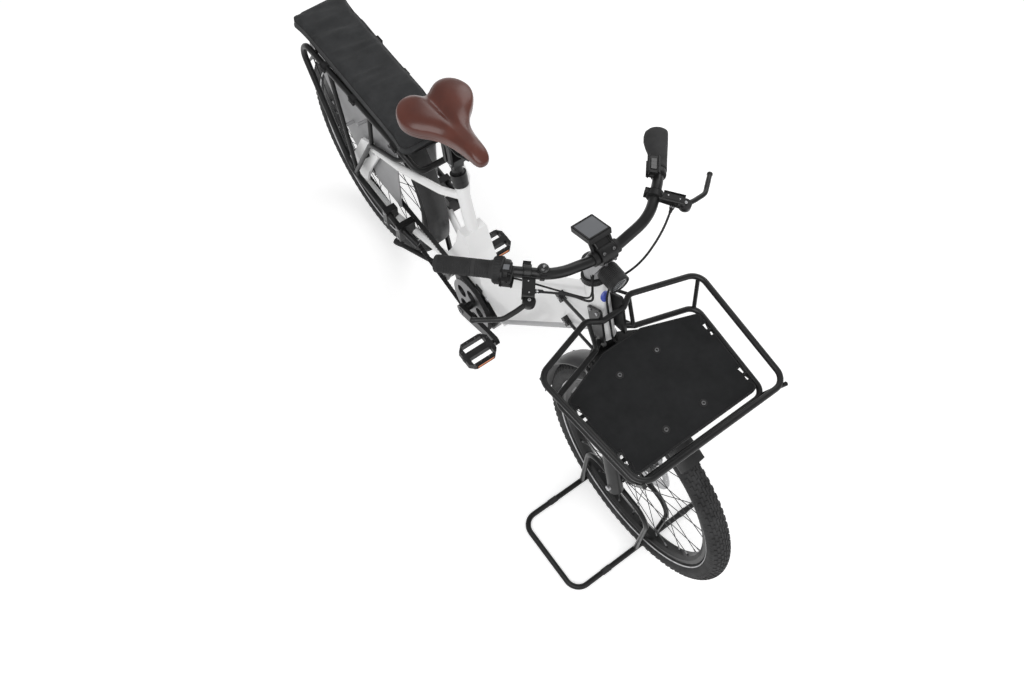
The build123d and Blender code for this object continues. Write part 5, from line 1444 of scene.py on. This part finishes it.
def make_fork_trim():
    """Adjuster caps on the crown, wiper seals, foot bolts and the caps of both axles."""
    seals, black = Shape(), Shape()
    cap = [(0.0138, -0.001), (0.0146, 0.0), (0.0146, 0.0024), (0.0130, 0.0042), (0.0060, 0.0046)]
    seal = [(0.0165, -0.002), (0.0212, -0.001), (0.0214, 0.0030)]
    seal += [(0.0196, 0.0046), (0.0188, 0.0080), (0.0164, 0.0090)]
    for side in (-1, 1):
        x = side * LEG_X
        centre = on_steering(x, -FORK_OFFSET, CROWN_TOP)
        black.revolve(cap, centre, steer_up, 36)
        for k in range(10):
            angle = 2 * math.pi * k / 10
            way = ACROSS * math.cos(angle) + steer_back * math.sin(angle)
            knurl = centre + way * 0.0148 + steer_up * 0.0014
            black.block(knurl, (0.0022, 0.0022, 0.0026), way, steer_up, 0.0006, 1)
        leg = touch("fork_lowers", on_steering(x + side * 0.004, -FORK_OFFSET, 0.6), -steer_up)[0]
        if leg is not None:
            height = (leg - steer_origin).dot(steer_up)
            seals.revolve(seal, on_steering(x, -FORK_OFFSET, height), steer_up, 40)
        black.bolt_on("fork_lowers", on_steering(x, -FORK_OFFSET, -0.3), steer_up, 0.0060, 0.0030)
    seals.make("fork_wiper_seals", GRIP, "steering")
    black.make("fork_caps", GLOSS, "steering", 35, "black_paint")
    front_cap = [(0.0066, -0.001), (0.0072, 0), (0.0072, 0.0016), (0.0060, 0.0022), (0.0036, 0.0022)]
    front_cap += [(0.0034, 0.0006), (0.0003, 0.0006)]
    rear_cap = [(0.0098, -0.001), (0.0104, 0), (0.0104, 0.0014), (0.0084, 0.0022), (0.0050, 0.0022)]
    rear_cap += [(0.0046, 0.0006), (0.0003, 0.0006)]
    for name, body, wheel, profile in (
        ("front_axle", "steering", front, front_cap),
        ("rear_axle", "frame", rear, rear_cap),
    ):
        caps = Shape()
        for side, corner in zip((-1, 1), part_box(name)):
            caps.revolve(profile, (corner.x, wheel.y, wheel.z), ACROSS * side, 28, (4, 5))
        caps.make(name + "_caps", STEEL, body)


def make_caliper_trim(node, body):
    low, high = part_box(node)
    centre = (low + high) / 2
    steel = Shape()
    for share in (-0.28, 0.28):
        start = (high.x + 0.2, centre.y + share * (high.y - low.y), centre.z)
        steel.bolt_on(node, start, -ACROSS, 0.0042, 0.0022)
    steel.bolt_on(node, centre + UP * 0.3, -UP, 0.0034, 0.0024)
    steel.make(node + "_bolts", STEEL, body)


def make_stand_trim():
    feet, steel, pads = Shape(), Shape(), Shape()
    pivot = Vector(joints["kickstand_fold"]["pos_m"])
    foot = [(0.0082, -0.028), (0.0092, -0.0275), (0.0098, -0.020), (0.0104, -0.006), (0.0104, -0.001)]
    foot += [(0.0092, 0.0016), (0.0003, 0.0020)]
    for side in (-1, 1):
        leg = [v.co for v in nodes["kickstand"].data.vertices if v.co.x * side > 0]
        tip_y = max(p.y for p in leg)
        tip = average([p for p in leg if p.y > tip_y - 0.006])
        along = (tip - Vector((side * 0.017, pivot.y + 0.030, tip.z))).normalized()
        feet.revolve(foot, tip, along, 32)
        for k in range(3):
            feet.revolve(bead(0.0098, 0.0012, 0.0008), tip - along * (0.007 + 0.004 * k), along, 32)
    feet.make("kickstand_feet", GRIP, "kickstand")
    side_bolts(steel, "kickstand_mount", ((pivot.y, pivot.z),), 0.0072, 0.0032)
    steel.make("kickstand_pivot_bolts", STEEL, "frame")
    low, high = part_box("floor_stand")
    bar = 0.008
    pad = sleeve(0.0078, 0.0091, 0.014, 0.0005)
    for x in (low.x * 0.55, high.x * 0.55):
        for y, sign in ((low.y, -1), (high.y, 1)):
            place = touch("floor_stand", (x, y + sign * 0.3, bar), REARWARD * -sign)[0]
            if place is not None and abs(place.y - y) < 0.004:
                pads.revolve(pad + pad[:1], (x, y - sign * bar, bar), ACROSS, 28)
    pads.make("floor_stand_sleeves", GRIP, "steering")


def make_saddle_trim():
    """Pivot bolts of the links under the saddle."""
    steel = Shape()
    spots = [(y, z) for y in (0.140, 0.160, 0.180, 0.200, 0.220) for z in (0.780, 0.850)]
    side_bolts(steel, "saddle_clamp", spots, 0.0034, 0.0022, 0.9, (0.02, 0.034))
    steel.make("saddle_link_bolts", STEEL, "frame")


make_frame_trim()
make_badge()
make_motor_bracket_trim()
make_front_board_trim()
make_rear_rack_trim()
make_guard_trim("front", "steering", 2, 104, False)
make_guard_trim("rear", "frame", 39, 180, True)
make_fork_trim()
make_caliper_trim("front_brake_caliper", "steering")
make_caliper_trim("rear_brake_caliper", "frame")
make_stand_trim()
make_saddle_trim()


# ---------------------------------------------------------------- stage, light and camera
FLOOR_SIZE = 40
FLOOR_LEVEL = -0.0005
FLOOR_LIFT = 0.42
FLOOR_FADE_START = 2.2
FLOOR_FADE_END = 7.0
WORLD_LIGHT = 0.45
CAMERA_PLACE = (-0.817, -1.051, 2.647)
CAMERA_LENS = 32.42
CAMERA_HEADING = Vector((0.6475, 0.762, 0)).normalized()
CAMERA_DIP = math.radians(62.6)
CAMERA_ROLL = math.radians(4.71)


def make_stage():
    """A pale floor that shows white to the camera and in reflections, and keeps the shadows."""
    bpy.ops.mesh.primitive_plane_add(size=FLOOR_SIZE, location=(0, 0, FLOOR_LEVEL))
    floor = bpy.context.object
    floor.name = "floor"
    look = Nodes("pale_floor", Base_Color=(0.86, 0.86, 0.86, 1), Roughness=0.75)
    rays = look.add("ShaderNodeLightPath").outputs
    seen = look.math("ADD", rays["Is Glossy Ray"], rays["Is Transmission Ray"])
    seen = look.math("ADD", rays["Is Camera Ray"], seen)
    # it brightens with distance until it meets the white world at the horizon
    distance = look.add("ShaderNodeVectorMath", operation="LENGTH")
    look.link(look.add("ShaderNodeNewGeometry").outputs["Position"], distance.inputs[0])
    lift = look.add("ShaderNodeMapRange", interpolation_type="SMOOTHSTEP", To_Min=FLOOR_LIFT, To_Max=1.0)
    lift.inputs["From Min"].default_value = FLOOR_FADE_START
    lift.inputs["From Max"].default_value = FLOOR_FADE_END
    look.link(distance.outputs["Value"], lift.inputs["Value"])
    glow = look.add("ShaderNodeEmission", Color=(1, 1, 1, 1))
    look.link(look.math("MULTIPLY", seen, lift.outputs["Result"]), glow.inputs["Strength"])
    both = look.add("ShaderNodeAddShader")
    look.link(look.shader.outputs[0], both.inputs[0])
    look.link(glow.outputs[0], both.inputs[1])
    look.link(both.outputs[0], look.tree.nodes["Material Output"].inputs["Surface"])
    floor.data.materials.append(look.material)


def make_world():
    """Even light from all round, seen as white by the camera and through glass."""
    world = bpy.data.worlds.new("studio")
    bpy.context.scene.world = world
    world.use_nodes = True
    tree = world.node_tree
    background = tree.nodes["Background"]
    background.inputs["Color"].default_value = (1, 1, 1, 1)
    rays = tree.nodes.new("ShaderNodeLightPath")
    seen = tree.nodes.new("ShaderNodeMath")
    seen.operation = "MAXIMUM"
    tree.links.new(rays.outputs["Is Camera Ray"], seen.inputs[0])
    tree.links.new(rays.outputs["Is Transmission Ray"], seen.inputs[1])
    level = tree.nodes.new("ShaderNodeMapRange")
    level.inputs["To Min"].default_value = WORLD_LIGHT
    level.inputs["To Max"].default_value = 1.0
    tree.links.new(seen.outputs[0], level.inputs["Value"])
    tree.links.new(level.outputs["Result"], background.inputs["Strength"])


def area_light(name, place, target, size, power):
    data = bpy.data.lights.new(name, "AREA")
    data.shape = "RECTANGLE"
    data.size, data.size_y = size
    data.energy = power
    lamp = bpy.data.objects.new(name, data)
    bpy.context.scene.collection.objects.link(lamp)
    lamp.location = place
    lamp.rotation_euler = (Vector(target) - Vector(place)).to_track_quat("-Z", "Y").to_euler()


def make_camera():
    """Looks down steeply from the front right."""
    data = bpy.data.cameras.new("camera")
    data.sensor_width = 36.0
    data.lens = CAMERA_LENS
    camera = bpy.data.objects.new("camera", data)
    bpy.context.scene.collection.objects.link(camera)
    camera.location = CAMERA_PLACE
    look = CAMERA_HEADING * math.cos(CAMERA_DIP) - UP * math.sin(CAMERA_DIP)
    right = look.cross(UP).normalized()
    top = right.cross(look)
    rolled_right = right * math.cos(CAMERA_ROLL) + top * math.sin(CAMERA_ROLL)
    rolled_top = top * math.cos(CAMERA_ROLL) - right * math.sin(CAMERA_ROLL)
    camera.rotation_euler = Matrix((rolled_right, rolled_top, -look)).transposed().to_euler()
    bpy.context.scene.camera = camera


make_stage()
make_world()
make_camera()
area_light("key", (-1.6, -1.2, 3.4), (0, 0, 0.4), (2.6, 2.6), 60)
area_light("fill", (2.6, 1.2, 2.8), (0, 0, 0.5), (2.4, 2.4), 34)
area_light("front_fill", (0.4, -3.4, 1.6), (0, 0, 0.5), (2.2, 1.6), 16)
bpy.context.scene.view_settings.view_transform = "Standard"
